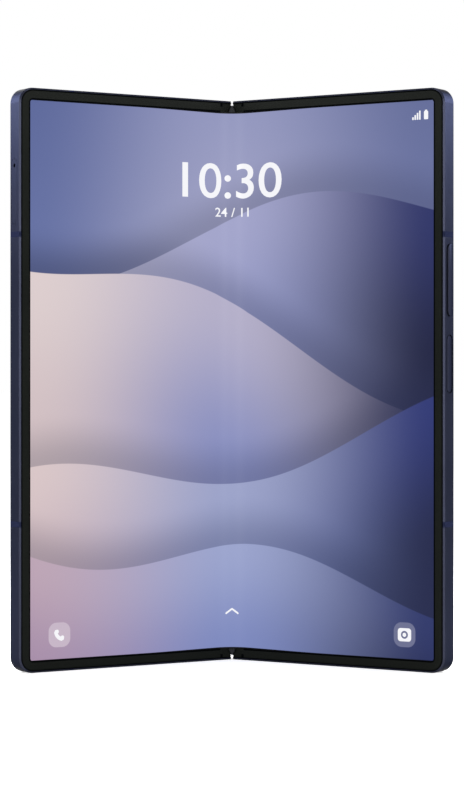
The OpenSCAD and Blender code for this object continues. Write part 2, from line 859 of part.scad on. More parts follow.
// The slot that the arm's pin runs in, a quarter turn about its centre
module pin_slot() {
    wide = pin_radius + slot_play;
    low = slot_angle - slot_overrun;
    high = slot_angle + 90 + slot_overrun;
    translate(slot_centre) {
        intersection() {
            difference() {
                circle(slot_radius + wide);
                circle(slot_radius - wide);
            }
            polygon([[0, 0], 4 * [cos(low), sin(low)], 4 * [cos((low + high) / 2), sin((low + high) / 2)],
                4 * [cos(high), sin(high)]]);
        }
        for (a = [low, high]) translate(slot_radius * [cos(a), sin(a)]) circle(wide, $fn = 32);
    }
}

module rotor(cell) {
    outer = arc_radius + arc_thickness / 2;
    inner = arc_radius - arc_thickness / 2;
    plate_in = axis_x + spine_outer + 0.4;
    along_z(cell + cell_gap, cell + cell_gap + rail_width) {
        translate([axis_x, axis_y]) intersection() {
            difference() {
                circle(outer);
                circle(inner);
            }
            polygon([[0, 0], [9, 0.3], [9, 9], [-9, 9], [9 * cos(arc_end), 9 * sin(arc_end)]]);
        }
        translate([axis_x + arc_radius - 0.2, rotor_front]) square([5, rotor_back - rotor_front]);
    }
    box([plate_in, rotor_out], [rotor_front, rotor_back], [-0.5, first_ear + ear_width]);
    box([ear_out - 0.01, rotor_out], [rotor_front, rotor_back], [first_ear, second_ear + 4]);
    box([plate_in + 0.8, middle_start - fit], [plate_back + 0.3, rotor_front + fit], [-0.5, first_ear + ear_width]);
    for (z = [first_ear, second_ear])
        box([ear_in, ear_out], [rotor_front, ear_back], [z, z + ear_width]);
}

module rotor_screw_places() {
    for (z = rotor_screw_heights) translate([screw_place, 0, z]) rotate([-90, 0, 0]) children();
}

module rotor_screw_holes() {
    rotor_screw_places() cylinder(h = rotor_back, r = screw_shank + fit, $fn = 24);
}

module rotors(cell) {
    at_both_modules() difference() {
        rotor(cell);
        along_z(first_ear, second_ear + ear_width) pin_slot();
        rotor_screw_places() cylinder(h = 4, r = screw_shank + fit, $fn = 24);
    }
}

module left_rotors() {
    color("#6f737b") on_left() rotors(left_cell);
}

module right_rotors() {
    color("#6f737b") on_right() rotors(right_cell);
}

module rotor_screws() {
    at_both_modules() rotor_screw_places() {
        translate([0, 0, plate_back + 0.05]) cylinder(h = rotor_back - plate_back, r = screw_shank, $fn = 32);
        translate([0, 0, rotor_back]) difference() {
            cylinder(h = head_height, r = screw_head, $fn = 32);
            translate([0, 0, head_height - 0.25]) cylinder(h = 1, r = socket_radius, $fn = 6);
        }
    }
}

module left_screws() {
    color("#b9bcc2") on_left() rotor_screws();
}

module right_screws() {
    color("#b9bcc2") on_right() rotor_screws();
}

// The plate that backs the screen beside the fold, thinned towards it and cut for the arms
module wing_plate() {
    difference() {
        along_z(wing_inset, phone_height - wing_inset)
            polygon([[wing_start, plate_back + wing_sheet - wing_edge], [bend_start, plate_back],
                [middle_start - fit, plate_back], [middle_start - fit, plate_back + wing_sheet],
                [wing_start, plate_back + wing_sheet]]);
        at_both_modules() box([wing_start - over, ear_out], [0, 3], [arm_start - ear_gap, gear_start + ear_gap]);
    }
}

module left_wing_plate() {
    color("#9a9da3") on_left() wing_plate();
}

module right_wing_plate() {
    color("#9a9da3") on_right() wing_plate();
}

// Ribbons that carry the signals across the fold, drawn from the right half to the centre
function half_to_spine(p) =
    [axis_x + (p[0] - axis_x) * cos(rest_fold) + (p[1] - axis_y) * sin(rest_fold),
     axis_y - (p[0] - axis_x) * sin(rest_fold) + (p[1] - axis_y) * cos(rest_fold)];
module hinge_flex() {
    outer = [[bay_in - 0.6, flex_y], [7, flex_y], [axis_x + spine_room, flex_y]];
    right = [for (p = outer) half_to_spine(p)];
    path = concat(right, [[3.2, 2.6], [1.7, 3.5]]);
    back = [for (p = path) p + [0, flex_sheet]];
    color("#b5743c") on_spine() for (z = flex_places) along_z(z, z + flex_width)
        polygon(concat(path, [for (i = [len(path) - 1:-1:0]) [-path[i][0], path[i][1]]],
            [for (p = back) [-p[0], p[1]]], [for (i = [len(back) - 1:-1:0]) back[i]]));
}

// ---------- inside the halves ----------

module battery(high, back) {
    along_y(middle_back + part_gap, back) round_rect([bay_in, bay_out], [bay_low, high], 1.5);
}

// A rectangle with four round corners
module round_rect(x, z, r) {
    translate([x[0] + r, z[0]]) square([x[1] - x[0] - 2 * r, z[1] - z[0]]);
    translate([x[0], z[0] + r]) square([x[1] - x[0], z[1] - z[0] - 2 * r]);
    for (u = [x[0] + r, x[1] - r], v = [z[0] + r, z[1] - r]) translate([u, v]) circle(r, $fn = 32);
}

module left_battery() {
    color("#3b3d42") on_left() battery(bay_high_left, cover_panel_front - part_gap);
}

module right_battery() {
    color("#3b3d42") on_right() battery(bay_high_right, glass_front - coil_sheet - 0.25);
}

module charging_coil() {
    centre = [(bay_in + bay_out) / 2, (bay_low + bay_high_right) / 2];
    color("#b8703a") on_right() along_y(glass_front - coil_sheet - fit, glass_front - fit) difference() {
        translate(centre) circle(coil_radius);
        translate(centre) circle(coil_radius - coil_band);
    }
}

module left_board() {
    color("#1f4a38") on_left() along_y(socket_back + fit, cover_panel_front - fit) difference() {
        round_rect([bay_in, inner_wall - 0.8], [bay_high_left + 1.6, phone_height - rail_wall - 0.6], 1);
        translate([cover_camera_x, cover_camera_z]) circle(cover_camera_radius + 0.5);
        translate([speaker_in - 0.3, phone_height - rail_wall - speaker_depth - 0.3])
            square([speaker_out - speaker_in + 0.6, speaker_depth + 1]);
    }
}

module main_board() {
    color("#1f4a38") on_right() along_y(board_back - board_sheet, board_back) difference() {
        round_rect([bay_in, key_strip[0] - part_gap], [bay_high_right + 1.6, phone_height - rail_wall - 0.6], 1);
        for (z = lens_heights) translate([island_x - module_half - 0.2, z - module_half - 0.2])
            square(2 * module_half + 0.4);
        translate([cover_camera_x, cover_camera_z]) square(2 * cover_camera_half + 0.8, center = true);
        translate([mic_hole, phone_height - rail_wall - 1.6]) square([3.4, 3.4], center = true);
    }
}

module shield_cans() {
    low = bay_high_right + 4;
    color("#c3c6ca") on_right() {
        along_y(middle_back + part_gap, board_back - board_sheet) round_rect([bay_in + 3, 43], [low, low + 20], 0.6);
        along_y(middle_back + part_gap, board_back - board_sheet)
            round_rect([bay_in + 3, 30], [low + 22, phone_height - 12], 0.6);
        along_y(board_back, board_back + can_height) round_rect([bay_in + 4, 42], [low + 2, low + 26], 0.6);
    }
}

module charge_board() {
    color("#1f4a38") on_right() along_y(middle_back + part_gap, middle_back + part_gap + 0.4 * board_sheet) difference() {
        round_rect([bay_in, 42], [rail_wall + 0.4, bay_low - 2], 1);
        translate([port_place - 5.2, 0]) square([10.4, 8]);
        translate([mic_hole, rail_wall + 1.6]) square([3.4, 3.4], center = true);
    }
}

module cover_glass() {
    color("#0d0e12") on_left() sheet(glass_start + fit, rim + fit, [glass_front, phone_depth], corner_radius - rim - fit);
}

module cover_screen() {
    color("#15161c") on_left() difference() {
        sheet(hinge_wall_out + 0.2, rail_wall + 0.3, [cover_panel_front, glass_front], corner_radius - rail_wall - 0.3);
        translate([cover_camera_x, 0, cover_camera_z]) rotate([-90, 0, 0])
            cylinder(h = phone_depth + over, r = cover_camera_radius + part_gap);
    }
}

module camera_barrel(radius, y) {
    translate([0, y[0], 0]) rotate([-90, 0, 0]) cylinder(h = y[1] - y[0], r = radius);
}

module cover_camera() {
    color("#24262c") on_left() translate([cover_camera_x, 0, cover_camera_z]) {
        camera_barrel(cover_camera_radius, [2.6, glass_front - fit]);
        box([-cover_camera_half, cover_camera_half], [middle_back + part_gap, 2.6],
            [-cover_camera_half, cover_camera_half]);
    }
}

module inner_camera() {
    color("#24262c") on_right() translate([cover_camera_x, 0, cover_camera_z]) {
        box([-cover_camera_half, cover_camera_half], [middle_back + part_gap, 4.2],
            [-cover_camera_half, cover_camera_half]);
    }
}

module island_shape(inset) {
    low = lens_heights[2] - island_width / 2;
    slot_shape(island_x, island_width - 2 * inset, [low + inset, island_top - inset]);
}

module back_glass() {
    color("#3a3f57") on_right() difference() {
        sheet(glass_start + fit, rim + fit, [glass_front, phone_depth], corner_radius - rim - fit);
        along_y(glass_front - over, phone_depth + over) island_shape(island_foot);
        translate([flash_x, 0, flash_z]) camera_barrel(flash_radius + fit, [glass_front - over, phone_depth + over]);
    }
}

module camera_island() {
    color("#33374a") on_right() difference() {
        union() {
            along_y(glass_front, phone_depth + fit) island_shape(island_foot + fit);
            along_y(phone_depth + fit / 2, phone_depth + island_height - island_step) island_shape(0);
            along_y(phone_depth + island_height - island_step - fit, phone_depth + island_height)
                island_shape(island_step);
        }
        for (z = lens_heights) translate([island_x, 0, z])
            camera_barrel(barrel_radius + barrel_gap, [0, phone_depth + island_height + over]);
    }
}

module camera_rings() {
    base = phone_depth + island_height;
    color("#4a4f66") on_right() for (z = lens_heights) translate([island_x, base, z]) rotate([-90, 0, 0])
        rotate_extrude($fn = 96) polygon([[ring_radius - ring_band, 0], [ring_radius, 0],
            [ring_radius, ring_height - 0.25], [ring_radius - 0.3, ring_height],
            [ring_radius - ring_band + 0.4, ring_height], [ring_radius - ring_band, ring_height - 0.3]]);
}

module camera_lenses() {
    base = phone_depth + island_height;
    color("#08090c") on_right() for (z = lens_heights) translate([island_x, 0, z])
        camera_barrel(ring_radius - ring_band - fit, [base, base + ring_height - 0.35]);
}

module camera_modules() {
    top = phone_depth + island_height - fit;
    color("#24262c") on_right() for (z = lens_heights) translate([island_x, 0, z]) {
        camera_barrel(barrel_radius, [board_back - 0.4, top]);
        box([-module_half, module_half], [middle_back + part_gap, board_back - 0.2], [-module_half, module_half]);
    }
}

module flash_lens() {
    color("#e8e4d2") on_right() translate([flash_x, 0, flash_z])
        camera_barrel(flash_radius, [glass_front - 0.2, phone_depth]);
}

module speaker_box(back) {
    along_y(middle_back + part_gap, back)
        round_rect([speaker_in, speaker_out], [rail_wall + part_gap, rail_wall + speaker_depth], 1);
}

module left_speaker() {
    color("#2c2e33") on_left() translate([0, 0, phone_height]) mirror([0, 0, 1]) speaker_box(cover_panel_front - part_gap);
}

module right_speaker() {
    color("#2c2e33") on_right() speaker_box(glass_front - part_gap);
}

module vibration_motor() {
    color("#a4a7ad") on_left() along_y(middle_back + part_gap, cover_panel_front - part_gap)
        round_rect(motor_x, motor_z, 1.2);
}

// Bar magnets along the outer rail hold the phone shut
module magnets(places) {
    for (z = places) box([inner_wall - part_gap - magnet_width, inner_wall - part_gap],
        [middle_back + part_gap, cover_panel_front - 2 * part_gap], [z, z + magnet_length]);
}

module left_magnets() {
    color("#85888f") on_left() magnets(magnet_heights);
}

module right_magnets() {
    color("#85888f") on_right() magnets(magnet_heights);
}

module usb_shell() {
    color("#9b9ea5") on_right() difference() {
        along_z(0.2, 0.2 + port_length) port_slot(0);
        along_z(0, 0.2 + port_length - port_sheet - 0.1) port_slot(-port_sheet);
    }
}

module usb_tongue() {
    color("#1b1c20") on_right() box([port_place - tongue_half[0], port_place + tongue_half[0]],
        [port_y - tongue_half[1], port_y + tongue_half[1]], [1.2, 0.2 + port_length - port_sheet - 0.1]);
}

module microphones() {
    color("#b08d57") on_right() {
        at_both_ends() box([mic_hole - mic_half[0], mic_hole + mic_half[0]],
            [port_y - 0.2 - mic_half[1], port_y - 0.2 + mic_half[1]], [rail_wall + fit, rail_wall + 3]);
    }
}

// ---------- keys and card tray ----------

module key_cap(face) {
    low = inner_wall - flange_gap - key_flange;
    along_x(low, half_width + face - 0.15) children(0);
    along_x(half_width + face - 0.2, half_width + face) children(1);
    along_x(low, low + key_flange) children(2);
}

module volume_key() {
    color("#3d4158") on_right() key_cap(0.35) {
        volume_slot(0);
        volume_slot(-0.15);
        volume_slot(0, flange_reach);
    }
}

module side_key() {
    color("#3d4158") on_right() key_cap(-0.05) {
        side_slot(0);
        side_slot(-0.15);
        side_slot(0, flange_reach);
    }
}

module key_switches() {
    volume_middle = key_height[0] + volume_length / 2;
    side_middle = key_height[1] + side_length / 2;
    color("#b5743c") on_right() {
        box(key_strip, [key_line - 1, key_line + 1], [key_height[1], key_height[0] + volume_length]);
        for (z = [volume_middle - 5, volume_middle + 5, side_middle])
            translate([key_strip[1] - fit, key_line, z]) rotate([0, 90, 0]) cylinder(h = 0.25, r1 = 0.9, r2 = 0.5, $fn = 32);
    }
}

module tray_inner_slot(play) {
    slot_shape(key_line, tray_sheet + 2 * play, [tray_low + 1.2 - play, tray_low + tray_length - 1.2 + play]);
}

// The tray: its face with the eject hole, its plate and the two card beds
module sim_tray() {
    bed = [key_line - 1, key_line + 1];
    color("#34384b") on_left() difference() {
        union() {
            along_x(half_width - 1 + fit, half_width) tray_slot(0);
            along_x(half_width - tray_reach, half_width - 0.9) tray_inner_slot(0);
        }
        along_y(bed[0], bed[1]) round_rect([half_width - tray_reach + 1.2, half_width - 3.4],
            [tray_low + 2.9, tray_low + tray_length - 4.6], 0.6);
        translate([half_width - 2, key_line, tray_low + tray_length - 1.8]) rotate([0, 90, 0])
            cylinder(h = 4, r = 0.55, $fn = 32);
    }
}

module sim_socket() {
    low = tray_low + 1.2 - 2 * key_play;
    high = tray_low + tray_length - 1.2 + 2 * key_play;
    room = tray_sheet / 2 + key_play;
    color("#b4b7bc") on_left() difference() {
        box([half_width - tray_reach - 1.4, inner_wall - fit], [key_line - room - socket_wall, socket_back],
            [low - socket_wall, high + socket_wall]);
        box([half_width - tray_reach - 1, inner_wall + over], [key_line - room, key_line + room], [low, high]);
    }
}

// ---------- the phone ----------

spine_cover();
hinge_housings();
hinge_screws();
detent_springs();
fold_caps();
screen_bend();
bend_plate();
hinge_flex();
left_idler_gears();
right_idler_gears();
left_sync_arms();
right_sync_arms();
left_frame();
right_frame();
left_bezel();
right_bezel();
left_screen();
right_screen();
left_screen_plate();
right_screen_plate();
left_wing_plate();
right_wing_plate();
left_rotors();
right_rotors();
left_screws();
right_screws();
left_antenna_bands();
right_antenna_bands();
left_battery();
right_battery();
left_board();
main_board();
shield_cans();
charge_board();
cover_glass();
cover_screen();
cover_camera();
inner_camera();
back_glass();
camera_island();
camera_rings();
camera_lenses();
camera_modules();
flash_lens();
charging_coil();
left_speaker();
right_speaker();
vibration_motor();
left_magnets();
right_magnets();
usb_shell();
usb_tongue();
microphones();
key_switches();
volume_key();
side_key();
sim_tray();
sim_socket();
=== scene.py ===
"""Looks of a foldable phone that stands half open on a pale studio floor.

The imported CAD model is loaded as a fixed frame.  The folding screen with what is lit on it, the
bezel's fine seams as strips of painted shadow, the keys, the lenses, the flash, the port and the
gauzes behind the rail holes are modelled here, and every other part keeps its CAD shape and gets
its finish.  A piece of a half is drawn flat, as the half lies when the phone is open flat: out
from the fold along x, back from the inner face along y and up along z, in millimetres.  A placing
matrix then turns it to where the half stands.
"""

from __future__ import annotations

import json
import logging
import math
from collections.abc import Callable, Iterable, Iterator
from contextlib import contextmanager
from dataclasses import dataclass, field
from enum import Enum

import bmesh
import bpy
from mathutils import Matrix, Vector

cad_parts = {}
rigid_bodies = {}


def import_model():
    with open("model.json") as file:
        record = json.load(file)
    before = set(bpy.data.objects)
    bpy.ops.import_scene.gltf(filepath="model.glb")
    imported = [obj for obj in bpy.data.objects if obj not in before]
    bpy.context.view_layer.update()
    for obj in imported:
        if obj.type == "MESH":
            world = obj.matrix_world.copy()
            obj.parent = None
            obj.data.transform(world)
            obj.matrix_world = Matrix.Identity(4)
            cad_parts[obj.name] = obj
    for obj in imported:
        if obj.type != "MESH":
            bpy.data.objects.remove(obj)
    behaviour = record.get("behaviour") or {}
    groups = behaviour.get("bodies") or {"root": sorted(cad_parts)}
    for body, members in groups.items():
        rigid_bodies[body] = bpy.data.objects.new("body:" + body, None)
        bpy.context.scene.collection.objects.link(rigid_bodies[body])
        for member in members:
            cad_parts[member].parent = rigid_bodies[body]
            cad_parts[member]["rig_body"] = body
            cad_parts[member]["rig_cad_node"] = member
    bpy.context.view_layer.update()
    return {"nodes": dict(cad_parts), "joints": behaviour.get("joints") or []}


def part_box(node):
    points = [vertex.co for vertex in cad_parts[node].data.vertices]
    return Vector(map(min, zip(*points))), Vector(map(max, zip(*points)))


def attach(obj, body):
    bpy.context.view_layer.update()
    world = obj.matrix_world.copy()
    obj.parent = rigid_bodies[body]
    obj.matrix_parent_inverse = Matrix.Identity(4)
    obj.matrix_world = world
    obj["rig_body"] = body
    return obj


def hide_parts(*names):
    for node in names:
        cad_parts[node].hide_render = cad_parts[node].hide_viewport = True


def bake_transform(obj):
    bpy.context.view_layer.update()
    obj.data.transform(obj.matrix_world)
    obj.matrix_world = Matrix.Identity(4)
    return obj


# Short names for the types that are used most.
Pair = tuple[float, float]
Triple = tuple[float, float, float]
Tones = tuple[str, str, str]
Tree = bpy.types.NodeTree
Socket = bpy.types.NodeSocket

LOG = logging.getLogger("phone")
MM = 0.001
# Thickness of what is lit on the screen, and height of a seam's painted shadow strip on the bezel,
# in millimetres.
LIT_HEIGHT = 0.016
SEAM_HEIGHT = 0.012
# A face looks along an axis if its normal has more than this along it.
FACING = 0.9
# Two points closer than this, in metres, are one.
SAME_SPOT = 1e-7
# A noise texture mostly stays between these.
NOISE_LOW, NOISE_HIGH = 0.3, 0.7
# How far apart the bands of a wave texture are at a scale of 1.
WAVE_PITCH = 0.31
# Draws a pattern out fifty times along z, as brush and die lines run.
BRUSH_RUN = (1.0, 1.0, 0.02)
# How far from a printed field's middle its border begins and is at its full height.
BORDER_START, BORDER_FULL = 0.42, 0.5
# An edge is sharp if its faces turn by more than this, in degrees.
SHARP_TURN = 40
# Settings that many nodes share.  A Map Range node's inputs 0 to 4 are the value, from low, from
# high, to low and to high.  In a Mix node set to colour, 0 is the share and 6 and 7 the colours.
SMOOTH = {"interpolation_type": "SMOOTHSTEP"}
IN_COLOUR = {"data_type": "RGBA"}
# Turn a piece whose front is drawn along z to the viewer, to the back or to the ground.
FACE_VIEWER = Matrix.Rotation(math.radians(90), 4, "X")
FACE_BACK = Matrix.Rotation(math.radians(-90), 4, "X")
FACE_DOWN = Matrix.Rotation(math.radians(180), 4, "X")


class Side(Enum):
    """Which half of the phone a piece belongs to, as the sign of its x."""

    LEFT = -1
    RIGHT = 1


class Grain(Enum):
    """How a surface was made, which sets the pattern of its fine relief."""

    BLASTED = "blasted"
    BRUSHED = "brushed"
    MOULDED = "moulded"
    POLISHED = "polished"
    WOVEN = "woven"
    WOUND = "wound"
    PRINTED = "printed"


# ---------------------------------------------------------------- nodes and finishes


def linear(code: str) -> tuple[float, float, float, float]:
    """Turns an sRGB hex colour to linear light.

    Args:
        code: Six hex digits after a hash sign.

    Returns:
        Red, green, blue and full opacity.
    """
    values = [int(code[i : i + 2], 16) / 255 for i in (1, 3, 5)]
    red, green, blue = [
        v / 12.92 if v <= 0.04045 else ((v + 0.055) / 1.055) ** 2.4 for v in values
    ]
    return red, green, blue, 1.0


def add_node(
    tree: Tree,
    kind: str,
    settings: dict[str, object] | None = None,
    links: dict[str | int, object] | None = None,
) -> bpy.types.Node:
    """Adds a node with its settings, and links or fills its inputs.

    Args:
        tree: The node tree that gets it.
        kind: The node's type.
        settings: Attributes to set on it.
        links: For each input, a socket to link or a value to fill in.

    Returns:
        The new node.
    """
    node = tree.nodes.new(kind)
    for key, value in (settings or {}).items():
        setattr(node, key, value)
    for key, value in (links or {}).items():
        if isinstance(value, Socket):
            tree.links.new(value, node.inputs[key])
        else:
            node.inputs[key].default_value = value
    return node


@dataclass(frozen=True)
class Finish:
    """A surface as it is made: its colour, its gloss and the relief of its making.

    The relief's size is a real one in millimetres.  What is too fine for a picture of the
    whole phone is drawn coarser, and the comment beside that finish says so.  The relief's
    high spots have the second colour and are duller by the share `drift`, and the low ones are
    glossier.  The colour drifts by the same share over `drift_mm`, and `edge` tints the light
    that glances off.
    """

    name: str
    colour: str
    grain: Grain = Grain.MOULDED
    roughness: float = 0.5
    metallic: float = 0.0
    specular: float = 0.5
    ior: float = 1.5
    coat: float = 0.0
    coat_roughness: float = 0.06
    grain_mm: float = 0.3
    relief: float = 0.1
    relief_depth: float = 0.4
    drift: float = 0.08
    drift_mm: float = 18.0
    second: str = ""
    emission: float = 0.0
    edge: str = "#FFFFFF"

    def build(self) -> bpy.types.Material:
        """Makes the material once and gives the same one after that.

        Returns:
            The material.
        """
        found = bpy.data.materials.get(self.name)
        if found is not None:
            return found
        material = bpy.data.materials.new(self.name)
        material.use_nodes = True
        tree = material.node_tree
        tree.nodes.clear()
        shader = add_node(
            tree,
            "ShaderNodeBsdfPrincipled",
            links={
                "Base Color": linear(self.colour),
                "Roughness": self.roughness,
                "Metallic": self.metallic,
                "Specular IOR Level": self.specular,
                "Specular Tint": linear(self.edge),
                "IOR": self.ior,
                "Coat Weight": self.coat,
                "Coat Roughness": self.coat_roughness,
            },
        )
        self.dress(tree, shader)
        add_node(tree, "ShaderNodeOutputMaterial", links={"Surface": shader.outputs[0]})
        material.diffuse_color = linear(self.colour)
        return material

    def dress(self, tree: Tree, shader: bpy.types.Node) -> None:
        """Gives the surface its colour drift, its relief and its uneven gloss.

        Args:
            tree: The material's node tree.
            shader: The surface shader.
        """
        place = add_node(tree, "ShaderNodeTexCoord").outputs["Object"]
        height = self.height(tree, place)
        cloud = add_node(
            tree,
            "ShaderNodeTexNoise",
            links={"Vector": place, "Scale": 1 / (self.drift_mm * MM), "Detail": 3.0},
        )
        spread = add_node(
            tree,
            "ShaderNodeMapRange",
            links={
                0: cloud.outputs[0],
                1: NOISE_LOW,
                2: NOISE_HIGH,
                3: 1 - self.drift,
                4: 1 + self.drift,
            },
        )
        tint = add_node(
            tree,
            "ShaderNodeMix",
            IN_COLOUR,
            {0: height, 6: linear(self.colour), 7: linear(self.second or self.colour)},
        )
        toned = add_node(
            tree,
            "ShaderNodeVectorMath",
            {"operation": "SCALE"},
            {0: tint.outputs[2], "Scale": spread.outputs[0]},
        )
        tree.links.new(toned.outputs[0], shader.inputs["Base Color"])
        gloss = add_node(
            tree,
            "ShaderNodeMapRange",
            links={
                0: height,
                1: 0.0,
                2: 1.0,
                3: max(0.02, self.roughness * (1 - self.drift)),
                4: min(1.0, self.roughness * (1 + self.drift)),
            },
        )
        tree.links.new(gloss.outputs[0], shader.inputs["Roughness"])
        if self.relief:
            bump = add_node(
                tree,
                "ShaderNodeBump",
                links={
                    "Strength": self.relief,
                    "Distance": self.grain_mm * MM * self.relief_depth,
                    "Height": height,
                },
            )
            tree.links.new(bump.outputs[0], shader.inputs["Normal"])

    def height(self, tree: Tree, place: Socket) -> Socket:
        """The relief that this way of making leaves, from 0 to 1.

        Args:
            tree: The material's node tree.
            place: Where on the piece, in metres.

        Returns:
            The socket that carries the height.
        """
        scale = 1 / (self.grain_mm * MM)
        if self.grain is Grain.BRUSHED:
            run = add_node(
                tree,
                "ShaderNodeVectorMath",
                {"operation": "MULTIPLY"},
                {0: place, 1: BRUSH_RUN},
            )
            links = {"Vector": run.outputs[0], "Scale": scale, "Detail": 2.0}
            return add_node(tree, "ShaderNodeTexNoise", links=links).outputs[0]
        if self.grain is Grain.WOVEN:
            wave = {"wave_type": "BANDS", "bands_direction": "X", "wave_profile": "SIN"}
            links = {"Vector": place, "Scale": scale * WAVE_PITCH}
            warp = add_node(tree, "ShaderNodeTexWave", wave, links)
            weft = add_node(
                tree, "ShaderNodeTexWave", {**wave, "bands_direction": "Y"}, links
            )
            crossed = add_node(
                tree,
                "ShaderNodeMath",
                {"operation": "MULTIPLY"},
                {0: warp.outputs[1], 1: weft.outputs[1]},
            )
            return crossed.outputs[0]
        if self.grain is Grain.WOUND:
            wave = {"wave_type": "BANDS", "bands_direction": "Z"}
            links = {"Vector": place, "Scale": scale * WAVE_PITCH, "Distortion": 0.6}
            return add_node(tree, "ShaderNodeTexWave", wave, links).outputs[1]
        if self.grain is Grain.PRINTED:
            cells = add_node(
                tree,
                "ShaderNodeTexVoronoi",
                {"feature": "F1", "distance": "CHEBYCHEV"},
                {"Vector": place, "Scale": scale},
            )
            edge = add_node(
                tree,
                "ShaderNodeMapRange",
                links={0: cells.outputs[0], 1: BORDER_START, 2: BORDER_FULL, 3: 0.0, 4: 1.0},
            )
            return edge.outputs[0]
        detail = 1.0 if self.grain is Grain.POLISHED else 2.5
        links = {"Vector": place, "Scale": scale, "Detail": detail, "Roughness": 0.6}
        return add_node(tree, "ShaderNodeTexNoise", links=links).outputs[0]


# Aluminium, bead blasted and dyed navy: the beads leave a satin frost of 0.05 mm pits, drawn
# at 0.22 mm, so that light spreads softly along the rails.
NAVY_ALUMINIUM = Finish(
    "anodised_aluminium_navy", "#282A35", Grain.BLASTED, 0.36, 1.0, grain_mm=0.22,
    relief=0.12, drift=0.05, second="#2B2D3A", edge="#AAAAA8",
)
# The same metal on the spine, drawn through a die, which leaves faint lines along the fold.
NAVY_SPINE = Finish(
    "anodised_aluminium_spine", "#2D2E3B", Grain.BRUSHED, 0.32, 1.0, grain_mm=0.25,
    relief=0.1, drift=0.05, second="#343543", edge="#B8B8B4",
)
# Keys are cut from the same bar and polished a little more, so their edges catch the light.
NAVY_KEY = Finish(
    "anodised_aluminium_key", "#2A2C39", Grain.BLASTED, 0.27, 1.0, grain_mm=0.2,
    relief=0.08, drift=0.04, second="#2E303D", edge="#AAAAA8",
)
# The camera rings are turned, which leaves fine lines and a brighter edge.
NAVY_RING = Finish(
    "turned_aluminium_ring", "#323440", Grain.BRUSHED, 0.24, 1.0, grain_mm=0.18,
    relief=0.1, drift=0.04, second="#3C3E4D", edge="#B8B8B4",
)
# Glass-filled nylon between the aerial parts of the rails: dull, with a fine moulded grain.
NYLON_BAND = Finish(
    "nylon_band", "#1D2136", Grain.MOULDED, 0.6, specular=0.0, grain_mm=0.25, relief=0.12,
    second="#21253B",
)
# Thermoplastic rubber bezel: near black and dull, with a faint olive cast.
BEZEL_RUBBER = Finish(
    "elastomer_bezel", "#131513", Grain.MOULDED, 0.55, specular=0.08, grain_mm=0.2,
    relief=0.1, second="#181A17", edge="#808080",
)
# Painted shadow: a near black strip over the bezel rubber, where a fine seam lies in shade and
# hardly any light comes back.
SEAM_SHADOW = Finish(
    "elastomer_seam", "#040506", Grain.MOULDED, 0.8, specular=0.0, grain_mm=0.2, relief=0.05,
    second="#060708",
)
# Moulded caps at the ends of the fold, a little glossier than the bezel.
CAP_NYLON = Finish(
    "nylon_cap", "#16181B", Grain.MOULDED, 0.45, specular=0.2, grain_mm=0.2, relief=0.1,
    second="#1B1D21",
)
# Satin etched back glass: a frost of 0.02 mm drawn at 0.3 mm, with a soft glow of the dye.
ETCHED_GLASS = Finish(
    "etched_glass_navy", "#1E233A", Grain.BLASTED, 0.38, specular=0.3, ior=1.52,
    grain_mm=0.3, relief=0.05, drift=0.04, drift_mm=40, second="#232840",
)
# Chemically strengthened cover glass over a dark panel, polished: a black mirror that keeps
# the outlines of what it shows.
COVER_GLASS = Finish(
    "polished_cover_glass", "#050609", Grain.POLISHED, 0.07, specular=0.3, ior=1.52,
    grain_mm=6, relief=0.01, drift=0.1, drift_mm=30, second="#07080C",
)
# A switched-off panel's polariser film: black and smooth, with a blurred, weak shine.
PANEL_BLACK = Finish(
    "panel_black", "#0B0C10", Grain.POLISHED, 0.3, grain_mm=2, relief=0.02, second="#0E0F14"
)
# Black anodised barrels, blasted so that no light strays inside the camera.
CAMERA_BLACK = Finish(
    "black_anodised_barrel", "#0A0B0D", Grain.BLASTED, 0.45, specular=0.2, grain_mm=0.15,
    relief=0.1, second="#101114",
)
# Front lens elements, whose coating throws back a little violet and blue.
COATED_LENS = Finish(
    "coated_lens", "#06060E", Grain.POLISHED, 0.05, specular=0.35, ior=1.6,
    grain_mm=3, relief=0.0, drift=0.3, drift_mm=3, second="#120C24", edge="#8A7CC8",
)
# Clear polycarbonate, moulded in stepped rings over a warm lamp, which shows through as a dull
# yellow.
FLASH_PLASTIC = Finish(
    "polycarbonate_flash", "#A39A7C", Grain.POLISHED, 0.16, ior=1.58, coat=0.3,
    grain_mm=0.5, relief=0.05, drift=0.1, drift_mm=1.2, second="#BDB495",
)
# Rolled stainless strip: grey, with the mill's lines along it.
STEEL_STRIP = Finish(
    "stainless_strip", "#8D9096", Grain.BRUSHED, 0.32, 1.0, grain_mm=0.2, relief=0.12,
    second="#A3A6AB",
)
# Metal injection moulded steel of the hinge, tumbled: dull with small pits.
SINTERED_STEEL = Finish(
    "sintered_steel", "#6A6D73", Grain.BLASTED, 0.42, 1.0, grain_mm=0.18, relief=0.2,
    second="#7A7D83",
)
# Hobbed brass: warm and bright, with cutter lines along the teeth.
HOBBED_BRASS = Finish(
    "hobbed_brass", "#C9A25C", Grain.BRUSHED, 0.3, 1.0, grain_mm=0.15, relief=0.15,
    second="#D8B876",
)
# Nickel plate over steel, bright with a faint cloud.
NICKEL = Finish(
    "nickel_plate", "#B9BBBE", Grain.POLISHED, 0.2, 1.0, grain_mm=0.6, relief=0.04,
    second="#C6C8CA",
)
# Spring wire, drawn and wound: bright, with fine lines along it.
SPRING_WIRE = Finish(
    "spring_wire", "#A9ACB1", Grain.BRUSHED, 0.25, 1.0, grain_mm=0.1, relief=0.1,
    second="#BBBEC2",
)
# Enamelled copper, wound flat: each turn shows as a fine ridge.
COPPER_WINDING = Finish(
    "enamelled_copper", "#A85C30", Grain.WOUND, 0.3, 0.9, coat=0.4, grain_mm=0.35,
    relief=0.5, second="#C07A48",
)
